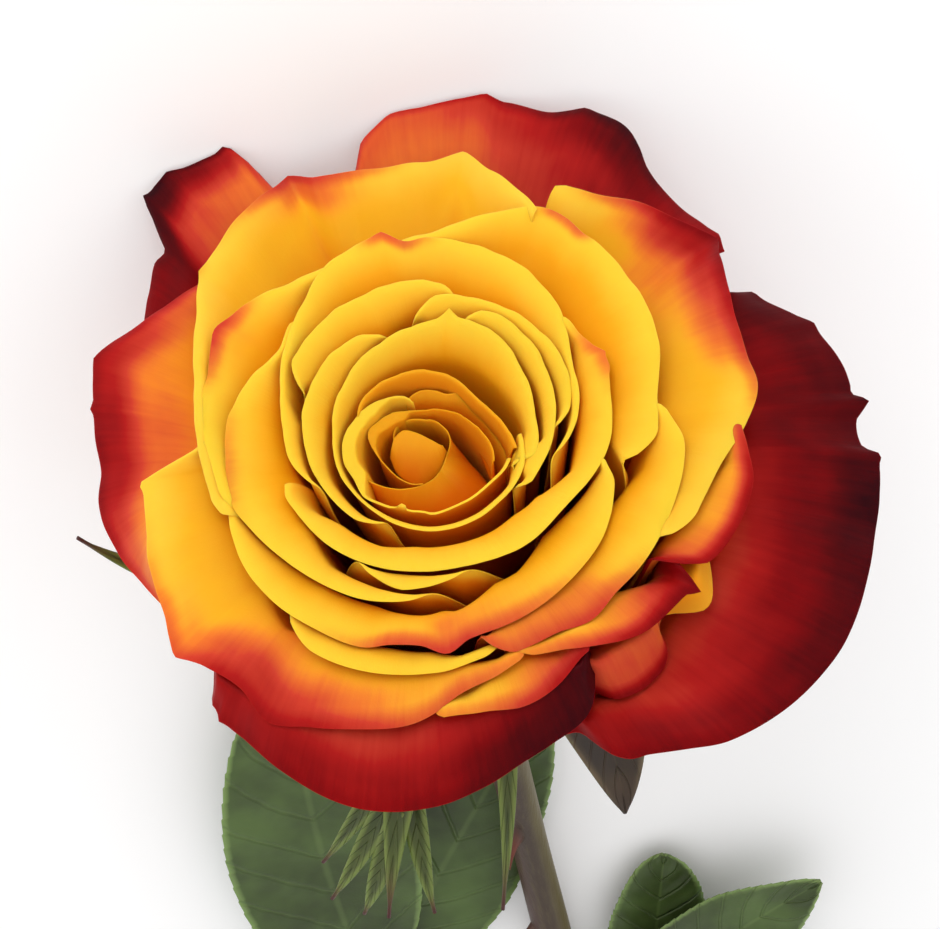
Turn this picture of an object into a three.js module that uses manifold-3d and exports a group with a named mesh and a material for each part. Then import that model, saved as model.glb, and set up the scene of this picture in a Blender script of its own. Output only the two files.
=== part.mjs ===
// A cut garden rose, laid down: a wide bloom of layered petals on a long stem with three leaves.
// Millimetres, +Z up. The bloom faces -Y and half up, the stem runs along +Y on the surface.
import * as THREE from 'three';
import { mergeVertices } from 'three/addons/utils/BufferGeometryUtils.js';
import Module from 'manifold-3d';

const wasm = await Module();
wasm.setup();

// Driving dimensions
const bloomRise = 29; // degrees that the bloom's axis points above the horizontal
const stemRadius = 3;
const stemLength = 352; // from the receptacle to the cut end, along the stem
const neckLength = 12; // straight stretch behind the bloom, before the stem bows down
const petalThickness = 0.6;
const leafThickness = 0.7;
const sepalThickness = 0.8;
const flatSpotDepth = 0.7; // what the weight of the bloom presses flat where petals touch
const clearance = 0.3;
const origin = { x: 6.4, y: 143.9 }; // from the receptacle's foot to the middle of the whole rose
const seatStart = { radius: 7.6, height: 0.6 }; // where the outermost petals are attached
const seatStep = { radius: -0.4, height: 1.0 }; // from one petal's seat to the next one inwards

const deg = Math.PI / 180;

// Heights of the petal margins above the receptacle, as a dome over the distance from the axis
const domeTop = 48.5;
const domeRadius = 22;
function domeHeight(radius) {
  if (radius > domeRadius) return domeTop - 0.018 * (radius - domeRadius) ** 2;
  return domeTop - 10 * (1 - radius / domeRadius) ** 2;
}

// How a petal rises from its seat to its margin, as control points of a curve:
// belly is how far it runs out first, wall where it stands, crest how high it goes before the lip
const profiles = {
  heart: { belly: 0.7, wall: 0.9, shoulder: 0.91, rise: 0.4, crest: 0.96 },
  ring: { belly: 0.62, wall: 0.82, shoulder: 0.84, rise: 0.42, crest: 1.0 },
  cup: { belly: 0.6, wall: 0.8, shoulder: 0.82, rise: 0.44, crest: 1.04 },
  open: { belly: 0.58, wall: 0.79, shoulder: 0.83, rise: 0.44, crest: 1.14 },
};

const tints = {
  heart: 0xd98a10,
  inner: 0xf5b81f,
  middle: 0xf4ae20,
  outer: 0xa81420,
  blush: 0xd8502e,
};

// Each petal: azimuths in degrees about the bloom's axis, counted from -X round by way of the
// surface. rim gives the margin's distance from the axis, seats its place in the spiral, ends how
// much of its width falls away at each side, high the margin's height where that leaves the dome.
const petals = [
  { name: 'petal_outer_top', tint: 'outer', shape: 'open', seats: [[30, 0], [92, 0]],
    rim: [[30, 52.2], [37, 53], [43, 54.4], [49, 58.2], [54, 61], [60, 60.6], [66, 59.6], [71, 61.6],
      [77, 60.3], [84, 59.4], [88, 56.4], [92, 53]],
    high: [[30, 30], [60, 31], [92, 31]], ends: [0.08, 0.08] },
  { name: 'petal_outer_upper_left', tint: 'outer', shape: 'open', seats: [[102.4, 0], [137, 0]],
    rim: [[102.4, 56.2], [105.8, 61.6], [113.5, 63.8], [118.3, 61.4], [120.7, 55.8], [124, 53.3],
      [130, 51.2], [137, 50.2]],
    high: [[102.4, 32.5], [120, 31], [137, 30]], ends: [0.1, 0.15] },
  { name: 'petal_outer_right', tint: 'outer', shape: 'open', seats: [[-77, 0], [26, 0]],
    rim: [[-77, 42.6], [-73, 44.6], [-70, 46.4], [-64, 48.8], [-57, 52.4], [-49, 54.9], [-35, 57.2],
      [-21, 57.5], [-9, 57.8], [-5, 56], [0, 57.6], [2, 56.5], [10, 56.2], [14, 55], [19, 52.6],
      [22, 51.2], [26, 50]],
    high: [[-77, 34], [-40, 28], [0, 26], [26, 29]], ends: [0.05, 0.05] },
  { name: 'petal_outer_left', tint: 'blush', shape: 'open', seats: [[116, 1], [206, 1]],
    rim: [[116, 48.5], [123, 45.4], [134, 47.2], [143, 50.3], [152, 47.4], [162, 44.4], [170, 44.2],
      [182, 41.6], [194, 41.8], [206, 42.3]],
    high: [[116, 35], [150, 34], [206, 37]], ends: [0.05, 0.15] },
  { name: 'petal_outer_lower', tint: 'outer', shape: 'open', seats: [[213, 1], [291, 1]],
    rim: [[213, 41.6], [219, 42.8], [225, 43.4], [233, 44.9], [246, 46.8], [258, 46.4], [266, 44.8],
      [274, 43], [281, 41.8], [287, 40.8], [291, 40]],
    high: [[213, 38], [250, 37], [291, 39]], ends: [0.06, 0.12] },
  { name: 'petal_outer_fold', tint: 'blush', shape: 'cup', seats: [[-61, 0.9], [-33, 0.9]],
    rim: [[-61, 43.2], [-56, 44], [-51, 41.4], [-46, 41.8], [-40, 43.4], [-33, 42]],
    high: [[-61, 34], [-33, 36]], ends: [0.3, 0.3] },
  { name: 'petal_lower_right', tint: 'middle', shape: 'cup', seats: [[250, 2], [297, 2]],
    rim: [[250, 41.4], [256, 40], [262, 38.8], [269, 38.4], [277, 38.3], [284, 38.3], [291, 38.1],
      [297, 38.9]],
    ends: [0.08, 0.08] },
  { name: 'petal_right_low', tint: 'middle', shape: 'cup', seats: [[-72, 3.1], [-38, 1.7]],
    rim: [[-72, 35.8], [-66, 36.2], [-60, 38], [-54, 39.3], [-49, 40.4], [-43, 41.6], [-38, 41.4]],
    ends: [0.1, 0.1] },
  { name: 'petal_right', tint: 'middle', shape: 'cup', seats: [[-46, 3.1], [-5, 2.2]],
    rim: [[-46, 38], [-43, 38.6], [-40, 38.3], [-36, 40.3], [-30, 41.3], [-24, 42], [-18, 41.9],
      [-9, 42.1], [-5, 44.2]],
    ends: [0.12, 0.06] },
  { name: 'petal_lower_left', tint: 'middle', shape: 'cup', seats: [[165, 2.2], [273, 3.2]],
    rim: [[165, 31], [169, 33.5], [173, 37], [180, 36.9], [188, 37.8], [200, 39.4], [207, 41.5],
      [213, 39.8], [219, 39.2], [228, 41.1], [236, 40], [245, 38.9], [252, 37.6], [258, 36.5],
      [265, 35.1], [273, 34]],
    ends: [0.05, 0.1] },
  { name: 'petal_upper_left', tint: 'middle', shape: 'cup', seats: [[54, 3.3], [196, 3.6]],
    rim: [[54, 39], [60, 42], [66, 44.3], [73, 50.4], [79, 46.4], [90, 48], [96, 49], [100, 54.6],
      [104, 51.2], [114, 46.2], [123, 43.6], [132, 37.2], [142, 33.2], [154, 30.6], [168, 28.6],
      [184, 28.4], [196, 29.4]],
    ends: [0.06, 0.06] },
  { name: 'petal_upper_right', tint: 'middle', shape: 'cup', seats: [[-46, 4.1], [57, 2.2]],
    rim: [[-46, 36], [-36, 36.2], [-28, 36.6], [-18, 38.2], [-9, 41.2], [-1, 43.6], [5, 43.6], [12, 44.3],
      [20, 46.6], [27, 49.6], [31, 52.5], [36, 50], [43, 47.2], [48, 44.6], [53, 43.2], [57, 42.2]],
    ends: [0.1, 0.06] },
  { name: 'petal_rim_right', tint: 'inner', shape: 'cup', seats: [[-84, 5.1], [2, 5.1]],
    rim: [[-84, 33.6], [-72, 32.4], [-63, 33.5], [-55, 33.1], [-41, 33.5], [-32, 33.5], [-24, 33.6],
      [-16, 33.4], [-8, 32.4], [2, 34.6]],
    ends: [0.08, 0.1] },
  { name: 'petal_broad_right', tint: 'inner', shape: 'cup', seats: [[-32, 6.1], [10, 6], [84, 4.4]],
    rim: [[-32, 30.8], [-22, 30.4], [-10, 30.3], [0, 31.1], [10, 32.9], [20, 34.2], [32, 35.6],
      [42, 36.8], [51, 38.4], [60, 35.3], [70, 31.3], [84, 31.4]],
    ends: [0.1, 0.08] },
  { name: 'petal_rim_below', tint: 'inner', shape: 'ring', seats: [[215, 4.6], [274, 5]],
    rim: [[215, 30.6], [222, 31], [229, 31.6], [237, 32.2], [247, 32.5], [257, 32.4], [266, 32.3],
      [274, 32]],
    ends: [0.2, 0.2] },
  { name: 'petal_near', tint: 'inner', shape: 'ring', seats: [[183, 5.6], [330, 7.1], [350, 7.1]],
    rim: [[183, 26.8], [189, 26.9], [196, 27.3], [206, 28.2], [218, 28.9], [230, 29.2], [243, 29.7],
      [250, 29], [258, 29.1], [264, 30.3], [270, 29], [284, 28.8], [302, 28.3], [318, 27.5], [334, 27],
      [350, 26.6]],
    ends: [0.06, 0.1] },
  { name: 'petal_upper_left_inner', tint: 'inner', shape: 'ring', seats: [[97, 4.8], [162, 4.8]],
    rim: [[97, 31.2], [104, 30], [112, 29], [121, 30.3], [129, 31.4], [134, 32.4], [138, 31.8],
      [146, 30.2], [154, 28.6], [162, 27.3]],
    ends: [0.15, 0.15] },
  { name: 'petal_left_inner', tint: 'inner', shape: 'ring', seats: [[132, 6.2], [276, 7.6]],
    rim: [[132, 23.9], [142, 24], [151, 24.5], [162, 25], [174, 25.2], [188, 25.5], [202, 24.5],
      [216, 23.9], [228, 23.8], [242, 24], [256, 24.7], [267, 25.9], [276, 25.6]],
    ends: [0.1, 0.1] },
  { name: 'petal_sliver', tint: 'inner', shape: 'ring', seats: [[222, 8.1], [285, 8.6]],
    rim: [[222, 20.8], [234, 21.1], [247, 21.4], [260, 21.6], [273, 21.9], [285, 22.4]],
    ends: [0.2, 0.2] },
  { name: 'petal_ring_right', tint: 'inner', shape: 'ring',
    seats: [[188, 9.1], [285, 9.6], [350, 8.1], [404, 6.3]],
    rim: [[188, 18.6], [197, 18.7], [208, 18.8], [222, 19], [240, 19.1], [258, 19.3], [274, 19.7],
      [288, 20.5], [301, 21.3], [314, 21.5], [328, 22.9], [341, 24.2], [355, 24.5], [366, 25.6],
      [373, 26], [379, 25.1], [392, 26.4], [404, 27.2]],
    ends: [0.08, 0.1] },
  { name: 'petal_ring_top', tint: 'inner', shape: 'ring',
    seats: [[12, 8.6], [44, 7.4], [133, 7.4], [193, 10.2], [212, 10.3]],
    rim: [[12, 22.7], [26, 23.3], [37, 25.6], [48, 26.8], [58, 28], [68, 28.9], [78, 28.7], [85, 29.7],
      [91, 30.3], [97, 29.4], [106, 27.9], [115, 25.6], [126, 22.9], [138, 20.8], [150, 19], [166, 17.6],
      [180, 17], [196, 16.3], [212, 15.8]],
    ends: [0.08, 0.1] },
  { name: 'petal_fold_right', tint: 'inner', shape: 'ring', seats: [[-16, 9.4], [12, 9.7], [80, 9.6]],
    rim: [[-16, 19.4], [-2, 20.2], [12, 20.5], [28, 20.7], [45, 20.7], [60, 20.4], [71, 20], [80, 19.4]],
    ends: [0.15, 0.15] },
  { name: 'petal_fold_top', tint: 'inner', shape: 'ring', seats: [[70, 8.5], [133, 8.5], [150, 9.35]],
    rim: [[70, 22.3], [84, 22.1], [98, 21.9], [110, 21.6], [122, 20.9], [136, 19.8], [150, 18.1]],
    ends: [0.15, 0.15] },
  { name: 'petal_inner_left', tint: 'inner', shape: 'ring',
    seats: [[84, 9.7], [152, 10.3], [193, 11.3], [250, 11.6]],
    rim: [[84, 18], [96, 17.4], [110, 17], [125, 16.8], [140, 16.4], [153, 15.8], [168, 15], [184, 14.5],
      [200, 14], [218, 13.9], [234, 14.1], [250, 14.4]],
    ends: [0.1, 0.12] },
  { name: 'petal_inner_right', tint: 'inner', shape: 'ring', seats: [[-33, 10.8], [64, 10.8]],
    rim: [[-33, 16.5], [-20, 16.9], [-6, 17.3], [8, 18], [22, 18.6], [36, 19.1], [47, 19.3], [55, 18.9],
      [64, 19.1]],
    ends: [0.15, 0.15] },
  { name: 'petal_inner_top', tint: 'inner', shape: 'ring',
    seats: [[-33, 11.8], [70, 11.8], [152, 11.4]],
    rim: [[-33, 14.7], [-18, 15], [-4, 14.8], [10, 15.2], [24, 15.8], [38, 16.8], [52, 17.2], [62, 17.3],
      [68, 17.7], [73, 16.7], [86, 15.6], [100, 14.7], [114, 14.1], [128, 13.2], [140, 13.4],
      [152, 13.3]],
    ends: [0.1, 0.12] },
  { name: 'petal_heart_top', tint: 'heart', shape: 'ring', seats: [[-18, 12.8], [147, 12.4]],
    rim: [[-18, 12], [-4, 11.2], [10, 10], [24, 9.4], [40, 9.5], [56, 10.1], [72, 10.4], [88, 10.5],
      [104, 10.5], [120, 10.4], [134, 11.4], [147, 11.5]],
    ends: [0.12, 0.12] },
  { name: 'petal_heart_near', tint: 'inner', shape: 'ring',
    seats: [[92, 13.5], [160, 13.5], [337, 12.8]],
    rim: [[92, 8.4], [108, 8.9], [124, 9.1], [140, 9.7], [158, 10.2], [176, 10.4], [194, 10], [212, 10.5],
      [228, 10.6], [240, 10.8], [252, 11.2], [266, 11.6], [284, 11.8], [302, 11.8], [320, 11.6],
      [337, 12.6]],
    ends: [0.1, 0.06] },
  { name: 'petal_heart_lip', tint: 'heart', shape: 'heart',
    seats: [[-28, 14.2], [92, 14.6], [160, 14.6]],
    rim: [[-28, 10.4], [-16, 9.2], [-2, 7.9], [14, 7.1], [32, 6.7], [52, 6.3], [72, 6], [92, 6.1],
      [110, 6.6], [128, 7.2], [144, 8], [160, 7.9]],
    ends: [0.12, 0.12] },
  { name: 'petal_heart_curl', tint: 'heart', shape: 'heart',
    seats: [[199, 14.6], [380, 15.5], [470, 15.6]],
    rim: [[199, 8.4], [214, 7.1], [230, 5.9], [248, 4.5], [270, 3.2], [295, 2.4], [320, 2.1], [345, 2.2],
      [370, 3.1], [395, 4.2], [420, 4.7], [445, 4.9], [470, 5.1]],
    ends: [0.1, 0.12] },
];

// Straight interpolation in a list of [position, value] pairs
function along(pairs, position) {
  const last = pairs.length - 1;
  if (position <= pairs[0][0]) return pairs[0][1];
  for (let i = 0; i < last; i++) {
    const [a, b] = [pairs[i], pairs[i + 1]];
    if (position <= b[0]) return a[1] + ((b[1] - a[1]) * (position - a[0])) / (b[0] - a[0]);
  }
  return pairs[last][1];
}

function smooth(x) {
  const t = Math.min(1, Math.max(0, x));
  return t * t * (3 - 2 * t);
}

// Rounded interpolation through [position, value] pairs, with slopes taken from both neighbours
function flowing(pairs, position) {
  const last = pairs.length - 1;
  let i = 0;
  while (i < last - 1 && position > pairs[i + 1][0]) i++;
  const slope = (k) => {
    const [a, b] = [pairs[Math.max(0, k - 1)], pairs[Math.min(last, k + 1)]];
    return (b[1] - a[1]) / (b[0] - a[0]);
  };
  const [a, b] = [pairs[i], pairs[i + 1]];
  const width = b[0] - a[0];
  const t = Math.min(1, Math.max(0, (position - a[0]) / width));
  const u = 1 - t;
  return a[1] * (1 + 2 * t) * u * u + b[1] * (3 - 2 * t) * t * t
    + slope(i) * width * t * u * u - slope(i + 1) * width * t * t * u;
}

function quartic(values, t) {
  const u = 1 - t;
  const [a, b, c, d, e] = values;
  return a * u ** 4 + 4 * b * t * u ** 3 + 6 * c * t * t * u * u + 4 * d * t ** 3 * u + e * t ** 4;
}

const sideFall = 0.34; // share of its height that a petal loses at its two side margins

// A petal's point: azimuth in degrees, t from 0 at the seat to 1 at the margin
function petalPoint(petal, azimuth, t) {
  const first = petal.rim[0][0];
  const last = petal.rim[petal.rim.length - 1][0];
  const share = (azimuth - first) / (last - first);
  const fallLeft = sideFall * (1 - smooth(share / petal.ends[0]));
  const fallRight = sideFall * (1 - smooth((1 - share) / petal.ends[1]));
  const reach = t * (1 - fallLeft) * (1 - fallRight);
  const shape = profiles[petal.shape];
  const seat = along(petal.seats, azimuth);
  const seatRadius = seatStart.radius + seat * seatStep.radius;
  const seatHeight = seatStart.height + seat * seatStep.height;
  const radius = flowing(petal.rim, azimuth);
  const height = petal.high ? flowing(petal.high, azimuth) : domeHeight(radius);
  const out = quartic([0, shape.belly, shape.wall, shape.shoulder, 1], reach);
  const up = quartic([0, 0, shape.rise, shape.crest, 1], reach);
  const r = seatRadius + (radius - seatRadius) * out;
  const h = seatHeight + (height - seatHeight) * up;
  return new THREE.Vector3(r * Math.cos(azimuth * deg), r * Math.sin(azimuth * deg), h);
}

// Columns of a petal's grid: at each point of its margin, and between those far apart
const widestColumn = 9;
function petalColumns(petal) {
  const columns = [];
  petal.rim.forEach(([azimuth, radius], i) => {
    const before = petal.rim[i - 1];
    const arc = before ? (azimuth - before[0]) * deg * radius : 0;
    if (arc > widestColumn) columns.push((azimuth + before[0]) / 2);
    columns.push(azimuth);
  });
  return columns;
}

// A thin closed body about a grid of points: both faces are split into triangles alike
function blade(grid, thickness) {
  const rows = grid.length;
  const cols = grid[0].length;
  const positions = [];
  const normalAt = (i, j) => {
    const upwards = grid[Math.min(rows - 1, i + 1)][j].clone().sub(grid[Math.max(0, i - 1)][j]);
    const across = grid[i][Math.min(cols - 1, j + 1)].clone().sub(grid[i][Math.max(0, j - 1)]);
    return upwards.cross(across).normalize();
  };
  for (const side of [1, -1]) {
    for (let i = 0; i < rows; i++) {
      for (let j = 0; j < cols; j++) {
        const point = grid[i][j].clone().addScaledVector(normalAt(i, j), (side * thickness) / 2);
        positions.push(point.x, point.y, point.z);
      }
    }
  }
  const index = [];
  const at = (side, i, j) => side * rows * cols + i * cols + j;
  for (let i = 0; i < rows - 1; i++) {
    for (let j = 0; j < cols - 1; j++) {
      index.push(at(0, i, j), at(0, i + 1, j), at(0, i + 1, j + 1));
      index.push(at(0, i, j), at(0, i + 1, j + 1), at(0, i, j + 1));
      index.push(at(1, i, j), at(1, i + 1, j + 1), at(1, i + 1, j));
      index.push(at(1, i, j), at(1, i, j + 1), at(1, i + 1, j + 1));
    }
  }
  const border = [];
  for (let j = 0; j < cols - 1; j++) border.push([0, j]);
  for (let i = 0; i < rows - 1; i++) border.push([i, cols - 1]);
  for (let j = cols - 1; j > 0; j--) border.push([rows - 1, j]);
  for (let i = rows - 1; i > 0; i--) border.push([i, 0]);
  border.forEach(([i, j], k) => {
    const [m, n] = border[(k + 1) % border.length];
    index.push(at(0, i, j), at(0, m, n), at(1, m, n));
    index.push(at(0, i, j), at(1, m, n), at(1, i, j));
  });
  return closedGeometry(positions, index);
}

// A geometry with its faces turned outwards
function closedGeometry(positions, index) {
  let volume = 0;
  const point = (k) => new THREE.Vector3().fromArray(positions, 3 * k);
  for (let k = 0; k < index.length; k += 3) {
    const [a, b, c] = [point(index[k]), point(index[k + 1]), point(index[k + 2])];
    volume += a.dot(b.cross(c));
  }
  if (volume < 0) {
    for (let k = 0; k < index.length; k += 3) [index[k], index[k + 1]] = [index[k + 1], index[k]];
  }
  const geometry = new THREE.BufferGeometry();
  geometry.setAttribute('position', new THREE.Float32BufferAttribute(positions, 3));
  geometry.setIndex(index);
  return geometry;
}

// A closed body of rings carried along a line of centres, with a radius for each
function sweep(centres, radii, sides) {
  const positions = [];
  const index = [];
  const count = centres.length;
  const up = new THREE.Vector3(0, 0, 1);
  centres.forEach((centre, i) => {
    const ahead = centres[Math.min(count - 1, i + 1)].clone().sub(centres[Math.max(0, i - 1)]).normalize();
    const side = ahead.clone().cross(up).normalize();
    const top = side.clone().cross(ahead).normalize();
    for (let k = 0; k < sides; k++) {
      const angle = (2 * Math.PI * (k + 0.5)) / sides;
      const point = centre.clone()
        .addScaledVector(side, radii[i] * Math.cos(angle))
        .addScaledVector(top, radii[i] * Math.sin(angle));
      positions.push(point.x, point.y, point.z);
    }
  });
  for (let i = 0; i < count - 1; i++) {
    for (let k = 0; k < sides; k++) {
      const next = (k + 1) % sides;
      index.push(i * sides + k, i * sides + next, (i + 1) * sides + next);
      index.push(i * sides + k, (i + 1) * sides + next, (i + 1) * sides + k);
    }
  }
  for (let k = 1; k < sides - 1; k++) {
    index.push(0, k + 1, k);
    index.push((count - 1) * sides, (count - 1) * sides + k, (count - 1) * sides + k + 1);
  }
  return closedGeometry(positions, index);
}

function toSolid(geometry) {
  const bare = geometry.clone();
  bare.deleteAttribute('normal');
  bare.deleteAttribute('uv');
  const merged = mergeVertices(bare, 1e-4);
  return new wasm.Manifold(new wasm.Mesh({
    numProp: 3,
    vertProperties: new Float32Array(merged.attributes.position.array),
    triVerts: new Uint32Array(merged.index.array),
  }));
}

function toGeometry(solid) {
  const mesh = solid.getMesh();
  const geometry = new THREE.BufferGeometry();
  geometry.setAttribute('position', new THREE.BufferAttribute(new Float32Array(mesh.vertProperties), 3));
  geometry.setIndex(new THREE.BufferAttribute(new Uint32Array(mesh.triVerts), 1));
  return geometry;
}

function join(geometries) {
  return toGeometry(geometries.map(toSolid).reduce((whole, next) => whole.add(next)));
}

const materials = {};
function material(name, colour, roughness) {
  materials[name] ??= new THREE.MeshStandardMaterial({ color: colour, roughness, metalness: 0, name });
  return materials[name];
}

// The bloom's frame: its z is the axis of the flower, its y points down to the surface
const rise = bloomRise * deg;
const bloomTurn = new THREE.Matrix4().makeBasis(
  new THREE.Vector3(-1, 0, 0),
  new THREE.Vector3(0, -Math.sin(rise), -Math.cos(rise)),
  new THREE.Vector3(0, -Math.cos(rise), Math.sin(rise)),
);

const petalRows = [0, 0.17, 0.36, 0.56, 0.74, 0.88, 1]; // closer together towards the margin
function petalGrid(petal) {
  const columns = petalColumns(petal);
  return petalRows.map((t) => columns.map((azimuth) => petalPoint(petal, azimuth, t)));
}

// The bloom is as high as lets its lowest petals touch the surface with a small flat spot
const petalBlades = petals.map((petal) => blade(petalGrid(petal), petalThickness));
const lowest = Math.min(...petalBlades.map((geometry) => {
  const turned = geometry.clone().applyMatrix4(bloomTurn);
  turned.computeBoundingBox();
  return turned.boundingBox.min.z;
}));
const bloomHeight = -lowest - flatSpotDepth;
const bloomPlace = bloomTurn.clone().setPosition(0, 0, bloomHeight);

const rose = new THREE.Group();

function place(name, geometry, finish) {
  const mesh = new THREE.Mesh(geometry.translate(-origin.x, -origin.y, 0), finish);
  mesh.name = name;
  rose.add(mesh);
  return mesh;
}

// Petals, with those that reach the surface pressed flat there
const underfoot = toSolid(new THREE.BoxGeometry(300, 900, 20).translate(0, 0, -10));
petals.forEach((petal, i) => {
  const placed = petalBlades[i].clone().applyMatrix4(bloomPlace);
  placed.computeBoundingBox();
  const geometry = placed.boundingBox.min.z < 0
    ? toGeometry(toSolid(placed).subtract(underfoot))
    : placed;
  place(petal.name, geometry, material(`petal_${petal.tint}`, tints[petal.tint], 0.62));
});

// Stem: straight behind the bloom, a bow down to the surface, then along it to the cut end
const drop = bloomHeight - neckLength * Math.sin(rise) - stemRadius * Math.cos(Math.PI / 8);
const bowRadius = drop / (1 - Math.cos(rise));
function stemCentre(distance) {
  const neck = Math.min(distance, neckLength);
  let y = neck * Math.cos(rise);
  let z = bloomHeight - neck * Math.sin(rise);
  const turn = Math.min(Math.max(0, distance - neckLength) / bowRadius, rise);
  y += bowRadius * (Math.sin(rise) - Math.sin(rise - turn));
  z -= bowRadius * (Math.cos(rise - turn) - Math.cos(rise));
  y += Math.max(0, distance - neckLength - bowRadius * rise);
  return new THREE.Vector3(0, y, z);
}

function stemPoint(y) {
  let distance = y;
  for (let k = 0; k < 30; k++) distance += y - stemCentre(distance).y;
  return stemCentre(distance);
}

// Thorns: small hooked cones whose roots are sunk in the stem. Each is its distance along the stem
// and its angle round it, from the side over the top.
const thorns = [[70, 60], [96, 15], [142, 75], [176, 5], [208, 130], [238, 35], [268, 95], [300, 165]];
const thornLength = 5.5;
const thornRadii = [2.1, 1.0, 0.15]; // root, middle and tip
function thorn(distance, around) {
  const centre = stemCentre(distance);
  const ahead = stemCentre(distance + 1).sub(centre).normalize();
  const side = ahead.clone().cross(new THREE.Vector3(0, 0, 1)).normalize();
  const top = side.clone().cross(ahead).normalize();
  const out = side.multiplyScalar(Math.cos(around * deg)).addScaledVector(top, Math.sin(around * deg));
  const root = centre.clone().addScaledVector(out, stemRadius * 0.6);
  const middle = centre.clone().addScaledVector(out, stemRadius + thornLength * 0.4);
  const tip = centre.clone().addScaledVector(out, stemRadius + thornLength * 0.85)
    .addScaledVector(ahead, thornLength * 0.5);
  return sweep([root, middle, tip], thornRadii, 6);
}

const receptacleLevels = [
  [0, -16], [3.0, -15], [3.6, -11], [4.6, -7], [5.8, -3.5], [6.6, -1.4], [6.9, -0.5],
  [seatStart.radius - clearance - 0.1, 0.2],
  [seatStart.radius + 16 * seatStep.radius - clearance - 0.1, seatStart.height + 16 * seatStep.height],
  [0, seatStart.height + 17 * seatStep.height],
];
const receptacle = new THREE.LatheGeometry(receptacleLevels.map(([r, h]) => new THREE.Vector2(r, h)), 14);
receptacle.rotateX(90 * deg);
receptacle.applyMatrix4(bloomPlace);

const bowEnd = neckLength + bowRadius * rise;
const bowSteps = 12;
const stemStops = [6];
for (let i = 0; i <= bowSteps; i++) stemStops.push(neckLength + ((bowEnd - neckLength) * i) / bowSteps);
for (const share of [0.25, 0.5, 0.75, 1]) stemStops.push(bowEnd + (stemLength - bowEnd) * share);
const stemLine = stemStops.map(stemCentre);
const stemBody = sweep(stemLine, stemLine.map(() => stemRadius), 8);
const stemParts = [stemBody, receptacle, ...thorns.map(([distance, around]) => thorn(distance, around))];

// A pointed or rounded blade along a bent line: `up` is the side that its upper face looks to,
// fold lifts its two halves off the midrib, teeth cuts its margins
function leafBlade({ line, up, halfWidth, outline, rows, fold = 0, teeth = 0, thickness }) {
  const [from, bend, to] = line.map((p) => new THREE.Vector3(...p));
  const curve = new THREE.QuadraticBezierCurve3(from, bend, to);
  const length = curve.getLength();
  const grid = [];
  for (let i = 0; i <= rows; i++) {
    const s = i / rows;
    const centre = curve.getPoint(s);
    const ahead = curve.getTangent(s);
    const across = up.clone().cross(ahead).normalize();
    const lift = ahead.clone().cross(across).normalize();
    const tooth = teeth && i > 0 && i < rows ? (i % 2 ? teeth : -teeth) : 0;
    const half = Math.max(0.35, halfWidth * outline(s) + tooth);
    const forward = tooth > 0 ? (0.45 * length) / rows : 0;
    grid.push([-1, 0, 1].map((k) => centre.clone()
      .addScaledVector(across, k * half)
      .addScaledVector(lift, Math.abs(k) * half * fold)
      .addScaledVector(ahead, Math.abs(k) * forward)));
  }
  return blade(grid, thickness);
}

const ovate = (s) => (s ** 0.55 * (1 - s) ** 0.8) / 0.4015;
const rounded = (s) => (s ** 0.5 * (1 - s) ** 0.5) / 0.5;
const lance = (s) => (0.45 + 1.5 * s) * (1 - s) ** 1.1 / 0.66;

// Sepals in the bloom's frame: five, from just under the petals, most of them bent back
const sepalSeat = { radius: 7.0, height: -1.5 };
const sepals = [
  { name: 'sepal_left', azimuth: 168, tip: [-49, 12.5, 19], reach: 30, halfWidth: 2.6, lobes: [] },
  { name: 'sepal_lobed', azimuth: 232, tip: [-21.5, -33, -30], reach: 14, halfWidth: 3.4,
    lobes: [[0.42, [-29, -22, -31]], [0.55, [-29, -27, -33]], [0.68, [-25, -30, -34]],
      [0.5, [-15, -34, -30]]] },
  { name: 'sepal_lower', azimuth: 280, tip: [-5.5, -36, -30], reach: 12, halfWidth: 1.9, lobes: [] },
  { name: 'sepal_right', azimuth: 322, tip: [14, -29, -22], reach: 14, halfWidth: 6, broad: true,
    lobes: [] },
  { name: 'sepal_under', azimuth: 56, tip: [15, 24, -16], reach: 12, halfWidth: 2.6,
    lobes: [[0.5, [22, 17, -15]]] },
];

function sepalGeometry(sepal) {
  const angle = sepal.azimuth * deg;
  const outwards = new THREE.Vector3(Math.cos(angle), Math.sin(angle), 0);
  const from = outwards.clone().multiplyScalar(sepalSeat.radius).setZ(sepalSeat.height);
  const bend = from.clone().addScaledVector(outwards, sepal.reach).add(new THREE.Vector3(0, 0, -3));
  const line = [from.toArray(), bend.toArray(), sepal.tip];
  const up = new THREE.Vector3(0, 0, 1).addScaledVector(outwards, 0.35);
  const thickness = sepalThickness;
  const parts = [leafBlade({ line, up, halfWidth: sepal.halfWidth, outline: sepal.broad ? ovate : lance,
    rows: 9, fold: 0.3, thickness })];
  const middle = new THREE.QuadraticBezierCurve3(...line.map((p) => new THREE.Vector3(...p)));
  for (const [share, tip] of sepal.lobes) {
    const root = middle.getPoint(share);
    const knee = middle.getPoint(share + 0.12).lerp(new THREE.Vector3(...tip), 0.45);
    parts.push(leafBlade({ line: [root.toArray(), knee.toArray(), tip], up, halfWidth: 1.15,
      outline: lance, rows: 4, fold: 0.3, thickness }));
  }
  return parts.length > 1 ? join(parts) : parts[0];
}

for (const sepal of sepals) {
  const geometry = sepalGeometry(sepal).applyMatrix4(bloomPlace);
  place(sepal.name, geometry, material('sepal', 0x4d6224, 0.6));
}

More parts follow.
